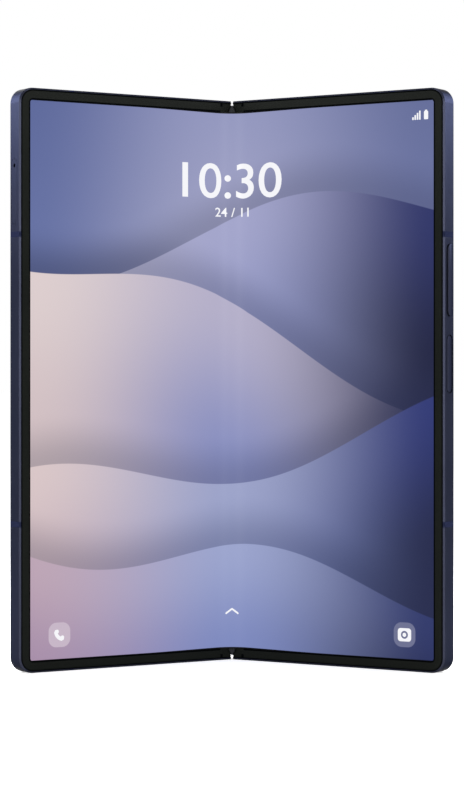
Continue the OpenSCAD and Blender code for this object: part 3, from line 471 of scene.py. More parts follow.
# Copper fields under amber polyimide film: orange, with darker lines between them.
POLYIMIDE = Finish(
    "polyimide_film", "#A8662B", Grain.PRINTED, 0.32, coat=0.2, grain_mm=0.5, relief=0.1,
    second="#8A4F1E",
)
# Green solder mask over copper tracks on glass-epoxy board, lighter where a track lies.
SOLDER_MASK = Finish(
    "solder_mask", "#14402F", Grain.PRINTED, 0.35, coat=0.25, grain_mm=0.9, relief=0.15,
    second="#2C6B4C",
)
# Aluminium laminate pouch, pressed round the cell: dull grey and slightly dimpled.
POUCH = Finish(
    "laminate_pouch", "#34363B", Grain.BLASTED, 0.45, 0.2, grain_mm=0.8, relief=0.15,
    second="#3E4046",
)
# Tin-plated steel, rolled and pressed to cans: pale grey with a soft shine.
TIN_CAN = Finish(
    "tin_plate", "#B3B6BA", Grain.BRUSHED, 0.3, 1.0, grain_mm=0.3, relief=0.1, second="#C3C6C9"
)
# Glass-filled polycarbonate from a spark-eroded mould: a dull, even black grain.
BOX_PLASTIC = Finish(
    "moulded_module", "#25272B", Grain.MOULDED, 0.55, grain_mm=0.3, relief=0.15,
    second="#2D2F34",
)
# Stainless steel, deep drawn to the port's shell, with faint lines along it.
PORT_STEEL = Finish(
    "drawn_port_steel", "#7C7F86", Grain.BRUSHED, 0.26, 1.0, grain_mm=0.2, relief=0.08,
    second="#8C8F96",
)
# Liquid crystal polymer, moulded to the port's tongue: black with a soft sheen.
TONGUE_PLASTIC = Finish(
    "liquid_crystal_polymer", "#131417", Grain.MOULDED, 0.4, specular=0.3, grain_mm=0.15,
    relief=0.1, second="#191A1E",
)
# Gold flash on copper contacts: a smooth, warm shine.
GOLD_CONTACT = Finish(
    "gold_flash", "#D9B35B", Grain.POLISHED, 0.2, 1.0, grain_mm=0.4, relief=0.03,
    second="#E4C476",
)
# Woven steel gauze behind the rail holes: 0.09 mm wires, drawn at 0.2 mm, grey over black.
GAUZE = Finish(
    "steel_gauze", "#303238", Grain.WOVEN, 0.5, 0.8, grain_mm=0.2, relief=0.8,
    drift=0.1, second="#0A0B0D",
)


@dataclass(frozen=True)
class LitPixels(Finish):
    """A plain lit area of the screen, such as a digit or a button."""

    film: str = "#08090B"
    faintest: float = 0.97
    faint_from: float = 0.2
    full_from: float = 0.8

    def dress(self, tree: Tree, shader: bpy.types.Node) -> None:
        """Makes the area shine evenly, with the screen film's gloss over it.

        Args:
            tree: The material's node tree.
            shader: The surface shader.
        """
        place = add_node(tree, "ShaderNodeTexCoord").outputs["Object"]
        grid = add_node(
            tree,
            "ShaderNodeTexNoise",
            links={"Vector": place, "Scale": 1 / (self.grain_mm * MM), "Detail": 1.0},
        )
        level = add_node(
            tree,
            "ShaderNodeMapRange",
            links={
                0: grid.outputs[0],
                1: self.faint_from,
                2: self.full_from,
                3: self.faintest,
                4: 1.0,
            },
        )
        colour = add_node(
            tree,
            "ShaderNodeVectorMath",
            {"operation": "SCALE"},
            {0: linear(self.colour)[:3], "Scale": level.outputs[0]},
        )
        shader.inputs["Base Color"].default_value = linear(self.film)
        tree.links.new(colour.outputs[0], shader.inputs["Emission Color"])
        shader.inputs["Emission Strength"].default_value = self.emission


# White organic pixels under polymer film: they shine evenly, with a faint grain.
WHITE_PIXELS = LitPixels("lit_white", "#F6F6FA", roughness=0.3, specular=0.15, emission=1.0)
# The same pixels in a pale mauve, as white at part strength looks over the picture.
BUTTON_LEFT = LitPixels("lit_button_mauve", "#C6B5C6", roughness=0.3, specular=0.15, emission=1.0)
# The same in a greyed navy, where the picture behind is dark.
BUTTON_RIGHT = LitPixels("lit_button_navy", "#6A6E90", roughness=0.3, specular=0.15, emission=1.0)


@dataclass(frozen=True)
class Ribbon:
    """One satin ribbon of the screen's background, crossing the whole screen.

    Its upper edge swings as a sine along the screen, and its colour runs from left to right
    and sinks into a deeper tone below the edge, over `fade`.  Lengths are in millimetres.
    """

    height: float
    slope: float
    sway: float
    wavelength: float
    phase: float
    colours: Tones
    deep: Tones
    fade: float


@dataclass(frozen=True)
class RibbonScreen(Finish):
    """The lit folding screen under its polymer film, with soft overlapping ribbons.

    The background is drawn on the piece's own map, in millimetres of the flat screen, so that
    it follows the screen as it bends.
    """

    ribbons: tuple[Ribbon, ...] = ()
    film: str = "#030305"
    sky: Tones = ("#5A6699", "#9397BE", "#626B98")
    haze: Tones = ("#6C78AA", "#AEAECB", "#747CAB")
    haze_span: Pair = (85.0, 150.0)
    colour_reach: float = 64.0
    middle: float = 76.75
    lit_out: float = 63.0
    lit_rise: Pair = (73.2, 73.5)
    fold_reach: float = 30.0
    shadow: str = "#20264A"
    shadow_reach: float = 14.0
    shadow_depth: float = 0.34
    edge_blur: float = 0.12

    def dress(self, tree: Tree, shader: bpy.types.Node) -> None:
        """Paints the ribbons from the farthest to the nearest.

        Args:
            tree: The material's node tree.
            shader: The surface shader.
        """
        place = add_node(tree, "ShaderNodeUVMap", {"uv_map": "screen"}).outputs[0]
        parts = add_node(tree, "ShaderNodeSeparateXYZ", links={0: place})
        along = add_node(
            tree,
            "ShaderNodeMath",
            {"operation": "MULTIPLY_ADD"},
            {0: parts.outputs[0], 1: ScreenMap.SPAN, 2: -ScreenMap.SPAN / 2},
        ).outputs[0]
        up = add_node(
            tree,
            "ShaderNodeMath",
            {"operation": "MULTIPLY"},
            {0: parts.outputs[1], 1: ScreenMap.SPAN},
        ).outputs[0]
        reach = self.colour_reach
        across = add_node(
            tree, "ShaderNodeMapRange", links={0: along, 1: -reach, 2: reach, 3: 0.0, 4: 1.0}
        ).outputs[0]
        low, high = self.haze_span
        climb = add_node(
            tree, "ShaderNodeMapRange", links={0: up, 1: low, 2: high, 3: 1.0, 4: 0.0}
        ).outputs[0]
        picture = add_node(
            tree,
            "ShaderNodeMix",
            IN_COLOUR,
            {
                0: climb,
                6: self.colour_run(tree, across, self.sky),
                7: self.colour_run(tree, across, self.haze),
            },
        ).outputs[2]
        for ribbon in self.ribbons:
            picture = self.lay_ribbon(tree, ribbon, (along, up, across), picture)
        lit = add_node(
            tree,
            "ShaderNodeMix",
            IN_COLOUR,
            {0: self.margin(tree, along, up), 6: linear("#000000"), 7: picture},
        )
        shader.inputs["Base Color"].default_value = linear(self.film)
        shader.inputs["Emission Strength"].default_value = self.emission
        tree.links.new(lit.outputs[2], shader.inputs["Emission Color"])

    def margin(self, tree: Tree, along: Socket, up: Socket) -> Socket:
        """Leaves a black margin unlit round the picture, wider beside the bend's short ends.

        Args:
            tree: The material's node tree.
            along: Millimetres right of the fold.
            up: Millimetres above the ground.

        Returns:
            The socket with 1 where the picture is lit and 0 in the margin.
        """
        out = add_node(tree, "ShaderNodeMath", {"operation": "ABSOLUTE"}, {0: along}).outputs[0]
        rise = add_node(tree, "ShaderNodeMath", {"operation": "SUBTRACT"}, {0: up, 1: self.middle})
        rise = add_node(tree, "ShaderNodeMath", {"operation": "ABSOLUTE"}, {0: rise.outputs[0]})
        at_fold, beyond = self.lit_rise
        limit = add_node(
            tree,
            "ShaderNodeMapRange",
            SMOOTH,
            {0: out, 1: 0.0, 2: self.fold_reach, 3: at_fold, 4: beyond},
        )
        beside = add_node(
            tree, "ShaderNodeMath", {"operation": "LESS_THAN"}, {0: out, 1: self.lit_out}
        )
        below = add_node(
            tree,
            "ShaderNodeMath",
            {"operation": "LESS_THAN"},
            {0: rise.outputs[0], 1: limit.outputs[0]},
        )
        both = add_node(
            tree,
            "ShaderNodeMath",
            {"operation": "MULTIPLY"},
            {0: beside.outputs[0], 1: below.outputs[0]},
        )
        return both.outputs[0]

    def lay_ribbon(
        self,
        tree: Tree,
        ribbon: Ribbon,
        place: tuple[Socket, Socket, Socket],
        behind: Socket,
    ) -> Socket:
        """Lays one ribbon over what is behind it, with a soft shadow along its edge.

        Args:
            tree: The material's node tree.
            ribbon: The ribbon.
            place: Millimetres along, millimetres up, and the share across the screen.
            behind: The colour of what lies behind.

        Returns:
            The socket with the new colour.
        """
        along, up, across = place
        turn = add_node(
            tree,
            "ShaderNodeMath",
            {"operation": "MULTIPLY_ADD"},
            {0: along, 1: 2 * math.pi / ribbon.wavelength, 2: ribbon.phase},
        )
        sine = add_node(tree, "ShaderNodeMath", {"operation": "SINE"}, {0: turn.outputs[0]})
        swing = add_node(
            tree,
            "ShaderNodeMath",
            {"operation": "MULTIPLY_ADD"},
            {0: sine.outputs[0], 1: ribbon.sway, 2: ribbon.height},
        )
        edge = add_node(
            tree,
            "ShaderNodeMath",
            {"operation": "MULTIPLY_ADD"},
            {0: along, 1: ribbon.slope, 2: swing.outputs[0]},
        )
        depth = add_node(
            tree, "ShaderNodeMath", {"operation": "SUBTRACT"}, {0: edge.outputs[0], 1: up}
        ).outputs[0]
        shade = add_node(
            tree,
            "ShaderNodeMapRange",
            SMOOTH,
            {0: depth, 1: -self.shadow_reach, 2: 0.0, 3: 0.0, 4: self.shadow_depth},
        )
        shaded = add_node(
            tree,
            "ShaderNodeMix",
            IN_COLOUR,
            {0: shade.outputs[0], 6: behind, 7: linear(self.shadow)},
        )
        sink = add_node(
            tree,
            "ShaderNodeMapRange",
            SMOOTH,
            {0: depth, 1: 0.0, 2: ribbon.fade, 3: 0.0, 4: 1.0},
        )
        body = add_node(
            tree,
            "ShaderNodeMix",
            IN_COLOUR,
            {
                0: sink.outputs[0],
                6: self.colour_run(tree, across, ribbon.colours),
                7: self.colour_run(tree, across, ribbon.deep),
            },
        )
        cover = add_node(
            tree,
            "ShaderNodeMapRange",
            SMOOTH,
            {0: depth, 1: -self.edge_blur, 2: self.edge_blur, 3: 0.0, 4: 1.0},
        )
        laid = add_node(
            tree,
            "ShaderNodeMix",
            IN_COLOUR,
            {0: cover.outputs[0], 6: shaded.outputs[2], 7: body.outputs[2]},
        )
        return laid.outputs[2]

    @staticmethod
    def colour_run(tree: Tree, share: Socket, colours: Tones) -> Socket:
        """Runs softly through three colours, from the left of the screen to the right.

        Args:
            tree: The material's node tree.
            share: Where across the screen, from 0 to 1.
            colours: The sRGB hex colours of the left, the middle and the right.

        Returns:
            The colour's socket.
        """
        colour: object = linear(colours[0])
        for index, code in enumerate(colours[1:]):
            step = add_node(
                tree,
                "ShaderNodeMapRange",
                SMOOTH,
                {0: share, 1: index * 0.5, 2: index * 0.5 + 0.5, 3: 0.0, 4: 1.0},
            )
            colour = add_node(
                tree,
                "ShaderNodeMix",
                IN_COLOUR,
                {0: step.outputs[0], 6: colour, 7: linear(code)},
            ).outputs[2]
        return colour


# Organic pixels under a soft polymer film that folds: the picture shines evenly, and the film
# only blurs a weak, broad shine over it.
FOLDING_SCREEN = RibbonScreen(
    "lit_folding_screen",
    "#8E93B8",
    Grain.POLISHED,
    roughness=0.42,
    specular=0.09,
    emission=1.0,
    ribbons=(
        Ribbon(116, 0.10, 9, 150, 0.6, ("#B9B6CC", "#A2A4CA", "#2A3166"),
               ("#ABA6C2", "#8D93C0", "#181D40"), 40),
        Ribbon(92, -0.30, 7, 130, 2.1, ("#DCCDCD", "#B3AEC8", "#20264F"),
               ("#CFBDC0", "#868DBE", "#171D3E"), 46),
        Ribbon(56, 0.16, 8, 140, 4.4, ("#D8C5C6", "#9BA2C8", "#2B3573"),
               ("#BCA6B2", "#7C89BF", "#1C2349"), 40),
        Ribbon(27, -0.12, 6, 120, 0.9, ("#BCA4B4", "#9AA3CC", "#2A3468"),
               ("#A68DA8", "#7C88BD", "#191E3E"), 30),
    ),
)


# ---------------------------------------------------------------- modelling


def deselect() -> None:
    """Leaves edit mode and deselects all, because an operator acts on all that is selected."""
    if bpy.context.mode != "OBJECT":
        bpy.ops.object.mode_set(mode="OBJECT")
    bpy.ops.object.select_all(action="DESELECT")


def activate(obj: bpy.types.Object) -> None:
    """Selects one object alone and makes it the active one.

    Args:
        obj: The object.
    """
    deselect()
    obj.select_set(True)
    bpy.context.view_layer.objects.active = obj


@contextmanager
def editing(obj: bpy.types.Object) -> Iterator[None]:
    """Holds an object in edit mode, with all of its mesh selected at first.

    Args:
        obj: The object.

    Yields:
        Nothing, while the object is in edit mode.
    """
    activate(obj)
    bpy.ops.object.mode_set(mode="EDIT")
    bpy.ops.mesh.select_all(action="SELECT")
    yield
    bpy.ops.object.mode_set(mode="OBJECT")


def pick_faces(obj: bpy.types.Object, test: Callable[[Vector, Vector], bool]) -> None:
    """Selects, in edit mode, the faces whose centre and normal pass a test.

    Args:
        obj: The object in edit mode.
        test: Takes the centre and the normal.
    """
    bpy.ops.mesh.select_mode(type="FACE")
    bpy.ops.mesh.select_all(action="DESELECT")
    shape = bmesh.from_edit_mesh(obj.data)
    for face in shape.faces:
        face.select_set(test(face.calc_center_median(), face.normal))
    bmesh.update_edit_mesh(obj.data)


def pick_edges(obj: bpy.types.Object, test: Callable[[Vector, Vector], bool]) -> None:
    """Selects, in edit mode, the edges whose two ends pass a test.

    Args:
        obj: The object in edit mode.
        test: Takes the two ends.
    """
    bpy.ops.mesh.select_mode(type="EDGE")
    bpy.ops.mesh.select_all(action="DESELECT")
    shape = bmesh.from_edit_mesh(obj.data)
    for edge in shape.edges:
        edge.select_set(test(edge.verts[0].co, edge.verts[1].co))
    bmesh.update_edit_mesh(obj.data)


def put(obj: bpy.types.Object, place: Matrix) -> None:
    """Moves a piece by a matrix and keeps the move in its mesh.

    Args:
        obj: The piece.
        place: The move.
    """
    activate(obj)
    obj.matrix_world = place @ obj.matrix_world
    bpy.ops.object.transform_apply(location=True, rotation=True, scale=True)


def close_up(obj: bpy.types.Object) -> None:
    """Drops loose edges, merges doubles, closes open ends and turns faces outwards.

    Args:
        obj: The piece.
    """
    with editing(obj):
        bpy.ops.mesh.select_mode(type="VERT")
        bpy.ops.mesh.select_all(action="SELECT")
        bpy.ops.mesh.remove_doubles(threshold=SAME_SPOT)
        bpy.ops.mesh.delete_loose()
        bpy.ops.mesh.select_all(action="DESELECT")
        bpy.ops.mesh.select_non_manifold()
        bpy.ops.mesh.edge_face_add()
        bpy.ops.mesh.select_all(action="SELECT")
        bpy.ops.mesh.normals_make_consistent(inside=False)


def block(name: str, low: Triple, high: Triple) -> bpy.types.Object:
    """Starts a piece as a block between two corners, in millimetres.

    Args:
        name: The piece's name.
        low: Its lowest corner.
        high: Its highest corner.

    Returns:
        The new object.
    """
    lo, hi = Vector(low) * MM, Vector(high) * MM
    deselect()
    bpy.ops.mesh.primitive_cube_add(size=1, location=(lo + hi) / 2)
    obj = bpy.context.active_object
    obj.name = obj.data.name = name
    obj.scale = hi - lo
    bpy.ops.object.transform_apply(location=True, rotation=True, scale=True)
    return obj


def round_upright_edges(obj: bpy.types.Object, radius: float, segments: int = 8) -> None:
    """Rounds the edges of a block that run along z.

    Args:
        obj: The block.
        radius: The corner radius, in millimetres.
        segments: Faces in each round.
    """
    with editing(obj):
        pick_edges(obj, lambda a, b: abs(a.x - b.x) + abs(a.y - b.y) < SAME_SPOT)
        bpy.ops.mesh.bevel(offset=radius * MM, segments=segments, affect="EDGES")


def soften(obj: bpy.types.Object, width: float, segments: int) -> None:
    """Rounds a piece's sharp edges by a bevel that is then made part of its mesh.

    Args:
        obj: The piece.
        width: The bevel's width, in millimetres.
        segments: Faces across the bevel.
    """
    activate(obj)
    bevel = obj.modifiers.new("edges", "BEVEL")
    bevel.width = width * MM
    bevel.segments = segments
    bevel.limit_method = "ANGLE"
    bevel.angle_limit = math.radians(SHARP_TURN)
    bpy.ops.object.modifier_apply(modifier=bevel.name)


def stepped_disc(
    name: str, radius: float, height: float, steps: Iterable[Pair], sides: int
) -> bpy.types.Object:
    """Turns a round piece: a disc whose front is stepped in towards its middle.

    Args:
        name: The piece's name.
        radius: Its outer radius, in millimetres.
        height: Its rim's height above z = 0.
        steps: For each step, how far the front is inset and then raised.
        sides: Faces round the rim.

    Returns:
        The new object, with its axis along z.
    """
    deselect()
    bpy.ops.mesh.primitive_cylinder_add(
        vertices=sides, radius=radius * MM, depth=height * MM, location=(0, 0, height * MM / 2)
    )
    obj = bpy.context.active_object
    obj.name = obj.data.name = name
    bpy.ops.object.transform_apply(location=True, rotation=True, scale=True)
    with editing(obj):
        pick_faces(obj, lambda spot, normal: normal.z > FACING)
        for inset, rise in steps:
            bpy.ops.mesh.inset(thickness=inset * MM)
            bpy.ops.transform.translate(value=(0, 0, rise * MM))
    return obj


def joined(name: str, parts: list[bpy.types.Object]) -> bpy.types.Object:
    """Joins several parts of one material into one object.

    Args:
        name: The joined piece's name.
        parts: The parts.

    Returns:
        The joined object.
    """
    activate(parts[0])
    for part in parts[1:]:
        part.select_set(True)
    if len(parts) > 1:
        bpy.ops.object.join()
    obj = bpy.context.active_object
    obj.name = obj.data.name = name
    return obj


def settle(obj: bpy.types.Object, place: Matrix, finish: Finish, angle: float = 35) -> None:
    """Puts a piece in its place for good, smooths it and gives it its finish.

    Args:
        obj: The piece, as drawn.
        place: Where it goes.
        finish: Its surface.
        angle: Edges sharper than this stay sharp, in degrees.
    """
    put(obj, place)
    bpy.ops.object.shade_smooth_by_angle(angle=math.radians(angle))
    dress_mesh(obj, finish)


def dress_mesh(obj: bpy.types.Object, finish: Finish) -> None:
    """Gives a mesh one finish all over."""
    obj.data.materials.clear()
    obj.data.materials.append(finish.build())


def shift(x: float, y: float, z: float) -> Matrix:
    """A move by millimetres."""
    return Matrix.Translation(Vector((x, y, z)) * MM)


# ---------------------------------------------------------------- the phone's frame


@dataclass(frozen=True)
class Half:
    """One half of the phone, and how it stands.

    The fold's axis is in metres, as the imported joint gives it; the other lengths are the flat
    drawing's millimetres.
    """

    side: Side
    body: str
    axis: Pair
    turn: float
    axis_out: float = 1.8
    axis_back: float = 1.35
    width: float = 66.3
    height: float = 153.5

    @property
    def sign(self) -> int:
        """The sign of x on this half."""
        return self.side.value

    def standing(self) -> Matrix:
        """The turn from the flat drawing to where the half stands."""
        return (
            Matrix.Translation((self.axis[0], self.axis[1], 0))
            @ Matrix.Rotation(-self.sign * self.turn, 4, "Z")
            @ shift(-self.sign * self.axis_out, -self.axis_back, 0)
        )

    def on_back(self, out: float, depth: float, up: float) -> Matrix:
        """A place on the back, with z pointing out of it."""
        return self.standing() @ shift(self.sign * out, depth, up) @ FACE_BACK

    def on_rail(self, out: float, depth: float, up: float) -> Matrix:
        """A place on the outer rail, with z pointing out of it and y to the back."""
        turned = Matrix.Rotation(math.radians(90 * self.sign), 4, "Y")
        return self.standing() @ shift(self.sign * out, depth, up) @ turned

    def on_end(self, out: float, depth: float, up: float, top: bool) -> Matrix:
        """A place on the top or the bottom end, with z pointing out of it."""
        face = Matrix.Identity(4) if top else FACE_DOWN
        return self.standing() @ shift(self.sign * out, depth, up) @ face


@dataclass(frozen=True)
class ScreenMap:
    """How the flat screen lies on the phone: flat on each half, and bent between them.

    `follow`, how far from the fold the screen would move with its half, is not used.
    """

    SPAN = 160.0

    halves: dict[Side, Half]
    spine_y: float
    recess: float = 0.35
    radius: float = 8.0
    follow: float = 3.6

    @property
    def turn(self) -> float:
        """How far each half is turned from flat, in radians."""
        return self.halves[Side.RIGHT].turn

    @property
    def apex(self) -> float:
        """How far out the two front faces would meet without the bend.

        Returns:
            The distance from the fold, in millimetres.
        """
        half = self.halves[Side.RIGHT]
        lift = half.axis_back - self.recess
        return half.axis_out + (lift * math.sin(self.turn) - half.axis_out) / math.cos(self.turn)

    @property
    def start(self) -> float:
        """How far out the bend begins."""
        return self.apex + self.radius * math.tan(self.turn)

    @property
    def centre(self) -> float:
        """The y of the bend's centre.

        Returns:
            Millimetres back from where the inner faces lie when the phone is flat.
        """
        half = self.halves[Side.RIGHT]
        lift = half.axis_back - self.recess
        apex_y = (
            half.axis_back
            - (self.apex - half.axis_out) * math.sin(self.turn)
            - lift * math.cos(self.turn)
        )
        return apex_y - self.radius / math.cos(self.turn)

    def point(self, along: float, up: float, lift: float) -> Vector:
        """A point of the flat picture, where it lies on the phone.

        Args:
            along: Millimetres right of the fold on the flat screen.
            up: Millimetres above the ground.
            lift: Millimetres in front of the screen's face.

        Returns:
            The point in the row frame, in metres.
        """
        if abs(along) <= self.start:
            angle = along / self.start * self.turn
            reach = self.radius - lift
            flat = Vector((reach * math.sin(angle), self.centre + reach * math.cos(angle), up))
            return flat * MM + Vector((0, self.spine_y, 0))
        half = self.halves[Side.RIGHT if along > 0 else Side.LEFT]
        return half.standing() @ (Vector((along, self.recess - lift, up)) * MM)


def write_map(obj: bpy.types.Object, along: Callable[[Vector], float]) -> None:
    """Writes the flat screen's millimetres into a piece's map.

    Args:
        obj: The piece, whose z is already the height above the ground.
        along: Gives how far right of the fold a point is on the flat screen.
    """
    layer = obj.data.uv_layers.new(name="screen")
    for loop in obj.data.loops:
        spot = obj.data.vertices[loop.vertex_index].co
        layer.data[loop.index].uv = (
            along(spot) / ScreenMap.SPAN + 0.5,
            spot.z / MM / ScreenMap.SPAN,
        )


@dataclass(frozen=True)
class Figures:
    """A line of digits that is lit across the fold, with its sizes in millimetres.

    `size` is the whole line's width and height, `base` the height of its base line above the
    ground, and `weight` how much the strokes are thickened.
    """

    name: str
    text: str
    size: Pair
    base: float
    weight: float


@dataclass
class FoldingScreen:
    """The inner screen: two flat panels, the bend between them and what is lit on it.

    Lengths are in millimetres and angles in degrees.  What is lit on both sides of the fold is
    given once, as it is right of the fold.
    """

    screen: ScreenMap
    thickness: float = 0.45
    inset: float = 2.6
    bend_inset: float = 3.2
    corner: float = 0.5
    corner_zone: float = 5.0
    steps: int = 26
    sliver: float = 0.01
    laid_cuts: int = 11
    lines: tuple[Figures, ...] = (
        Figures("clock", "10:30", size=(32.6, 9.6), base=126.6, weight=0.08),
        Figures("date", "24 / 11", size=(11.5, 2.5), base=121.6, weight=0.03),
    )
    figure_share: float = 0.73
    lift: float = 0.02
    mark_lift: float = 0.03
    stroke: Pair = (0.25, 1.35)
    stroke_place: Pair = (1.0, 13.4)
    stroke_lean: float = 58.0
    status_base: float = 145.3
    bar_place: float = 56.6
    bar_pitch: float = 0.68
    bar_width: float = 0.46
    bar_rise: Pair = (0.7, 0.55)
    battery: Triple = (60.1, 61.35, 147.5)
    battery_cap: Triple = (60.4, 61.05, 147.8)
    button_place: Pair = (54.3, 9.6)
    button_size: float = 3.25
    button_corner: float = 2.3
    handset_grip: Triple = (2.75, 1.75, 0.02)
    handset_end: Triple = (0.62, 0.5, 0.42)
    handset_turn: float = 76.0
    handset_lean: float = 83.0
    handset_radius: float = 1.95
    handset_shift: float = 1.1
    camera_size: Triple = (2.0, 1.75, 0.8)
    camera_ring: float = 1.05
    camera_eye: float = 0.55

    def build(self) -> None:
        """Builds both panels, the bend, and all that is lit."""
        for half in self.screen.halves.values():
            self.panel(half)
            self.bend(half)
        self.copy_across_fold("bend_plate", STEEL_STRIP, 24)
        self.copy_across_fold("hinge_flex", POLYIMIDE, 12)
        for figures in self.lines:
            self.words(figures)
        self.chevron()
        self.status()
        self.call_button()
        self.camera_button()

    def panel(self, half: Half) -> None:
        """One flat panel, with its two outer corners rounded.

        Args:
            half: The half that carries it.
        """
        name = f"screen_{half.side.name.lower()}"
        near, far = half.sign * self.screen.start, half.sign * (half.width - self.inset)
        obj = block(
            name,
            (min(near, far), self.screen.recess, self.inset),
            (max(near, far), self.screen.recess + self.thickness, half.height - self.inset),
        )
        with editing(obj):
            pick_edges(
                obj,
                lambda a, b: abs(a.y - b.y) > self.thickness * MM / 2
                and abs(a.x) > (half.width - self.corner_zone) * MM,
            )
            bpy.ops.mesh.bevel(offset=self.corner * MM, segments=4, affect="EDGES")
        write_map(obj, lambda spot: spot.x / MM)
        settle(obj, half.standing(), FOLDING_SCREEN)
        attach(obj, half.body)
        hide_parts(f"{half.side.name.lower()}_screen")
        LOG.info("%s: flat panel on %s", name, half.body)

    def bend(self, half: Half) -> None:
        """Half of the bend, spun about the bend's centre from a sliver's end face.

        Args:
            half: The half that it leads to.
        """
        name = f"screen_bend_{half.side.name.lower()}"
        front = self.screen.centre + self.screen.radius
        obj = block(
            name,
            (-self.sliver, front, self.bend_inset),
            (self.sliver, front + self.thickness, half.height - self.bend_inset),
        )
        with editing(obj):
            pick_faces(obj, lambda spot, normal: normal.x * half.sign < FACING)
            bpy.ops.mesh.delete(type="ONLY_FACE")
            pick_faces(obj, lambda spot, normal: True)
            bpy.ops.transform.translate(value=(-half.sign * self.sliver * MM, 0, 0))
            bpy.ops.mesh.spin(
                steps=self.steps,
                angle=self.screen.turn,
                center=(0, self.screen.centre * MM, 0),
                axis=(0, 0, half.sign),
            )
        close_up(obj)
        centre = self.screen.centre * MM
        start, turn = self.screen.start, self.screen.turn
        write_map(obj, lambda spot: math.atan2(spot.x, spot.y - centre) / turn * start)
        settle(obj, Matrix.Translation((0, self.screen.spine_y, 0)), FOLDING_SCREEN)
        self.bend_with(obj)
        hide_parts("screen_bend")
        LOG.info("%s: bends between the spine and %s", name, half.body)

    def bend_with(self, obj: bpy.types.Object) -> None:
        """Keeps a piece's placing in its mesh."""
        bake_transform(obj)

    def copy_across_fold(self, node: str, finish: Finish, cuts: int) -> None:
        """Copies a CAD sheet that crosses the fold, halves it and cuts each half across at equal
        steps.

        Args:
            node: The CAD node.
            finish: Its surface.
            cuts: How many cuts each half gets.
        """
        _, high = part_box(node)
        copies = []
        for half in self.screen.halves.values():
            activate(bpy.data.objects[node])
            bpy.ops.object.duplicate()
            obj = bpy.context.active_object
            obj.name = obj.data.name = f"{node}_{half.side.name.lower()}"
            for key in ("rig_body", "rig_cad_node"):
                del obj[key]
            obj.parent = None
            copies.append((half, obj))
        for half, obj in copies:
            with editing(obj):
                bpy.ops.mesh.remove_doubles(threshold=SAME_SPOT)
                for step in range(cuts):
                    self.cut(half.sign * high.x * step / cuts, half if step == 0 else None)
            settle(obj, Matrix.Identity(4), finish)
            self.bend_with(obj)
            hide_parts(node)
            LOG.info("%s: bends between the spine and %s", obj.name, half.body)

    @staticmethod
    def cut(place: float, keep: Half | None) -> None:
        """Cuts the selected mesh upright at an x, and drops what isn't on the kept half.

        Args:
            place: The x of the cut, in metres.
            keep: The half to keep, or None to keep both sides.
        """
        bpy.ops.mesh.select_all(action="SELECT")
        bpy.ops.mesh.bisect(
            plane_co=(place, 0, 0),
            plane_no=(1, 0, 0),
            use_fill=keep is not None,
            clear_inner=keep is not None and keep.side is Side.RIGHT,
            clear_outer=keep is not None and keep.side is Side.LEFT,
        )

    def lay(self, obj: bpy.types.Object, finish: Finish, lift: float = 0.0) -> None:
        """Lays a piece that is drawn flat, x along and y up, onto the screen's face.

        A piece that reaches over the bend is cut upright at equal steps first, to bend there.

        Args:
            obj: The piece, in the flat picture's millimetres.
            finish: Its surface.
            lift: How much farther in front of the face it lies.
        """
        spots = [v.co.x / MM for v in obj.data.vertices]
        near = self.screen.start + 1
        if min(abs(s) for s in spots) < near:
            with editing(obj):
                for step in range(-self.laid_cuts, self.laid_cuts + 1):
                    place = step * self.screen.start / self.laid_cuts
                    if min(spots) < place < max(spots):
                        self.cut(place * MM, None)
        for vertex in obj.data.vertices:
            flat = vertex.co / MM
            vertex.co = self.screen.point(flat.x, flat.y, flat.z + self.lift + lift)
        settle(obj, Matrix.Identity(4), finish)

    def attach(self, obj: bpy.types.Object, half: Half, bent: bool) -> None:
        """Makes a lit piece move with its half, or, if it reaches over the bend, only keeps its
        placing in its mesh.

        Args:
            obj: The piece.
            half: The half that it is on.
            bent: Whether it reaches over the bend.
        """
        if bent:
            self.bend_with(obj)
        else:
            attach(obj, half.body)
        LOG.info("%s: lit on %s", obj.name, half.body)

    def words(self, figures: Figures) -> None:
        """Digits across the fold, cut in two there.

        Args:
            figures: The line of digits.
        """
        for half in self.screen.halves.values():
            deselect()
            bpy.ops.object.text_add(location=(0, 0, 0))
            obj = bpy.context.active_object
            obj.data.body = figures.text
            obj.data.align_x = "CENTER"
            obj.data.size = figures.size[1] * MM / self.figure_share
            obj.data.offset = figures.weight * MM
            obj.data.extrude = LIT_HEIGHT / 2 * MM
            obj.data.resolution_u = 6
            bpy.ops.object.convert(target="MESH")
            obj = bpy.context.active_object
            obj.name = obj.data.name = f"{figures.name}_{half.side.name.lower()}"
            self.fit_between(obj, figures.size, figures.base)
            with editing(obj):
                bpy.ops.mesh.remove_doubles(threshold=SAME_SPOT / 10)
                self.cut(0.0, half)
            self.lay(obj, WHITE_PIXELS)
            self.attach(obj, half, bent=True)

    @staticmethod
    def fit_between(obj: bpy.types.Object, size: Pair, base: float) -> None:
        """Stretches flat digits to their width and height, centred on the fold.

        Args:
            obj: The digits' mesh.
            size: Width and height, in millimetres.
            base: The height of their base line.
        """
        spots = [vertex.co for vertex in obj.data.vertices]
        low_x, high_x = min(s.x for s in spots), max(s.x for s in spots)
        low_y, high_y = min(s.y for s in spots), max(s.y for s in spots)
        wide, tall = size[0] * MM / (high_x - low_x), size[1] * MM / (high_y - low_y)
        obj.scale = (wide, tall, 1)
        obj.location = (-wide * (low_x + high_x) / 2, base * MM - tall * low_y, 0)
        bpy.ops.object.transform_apply(location=True, rotation=True, scale=True)

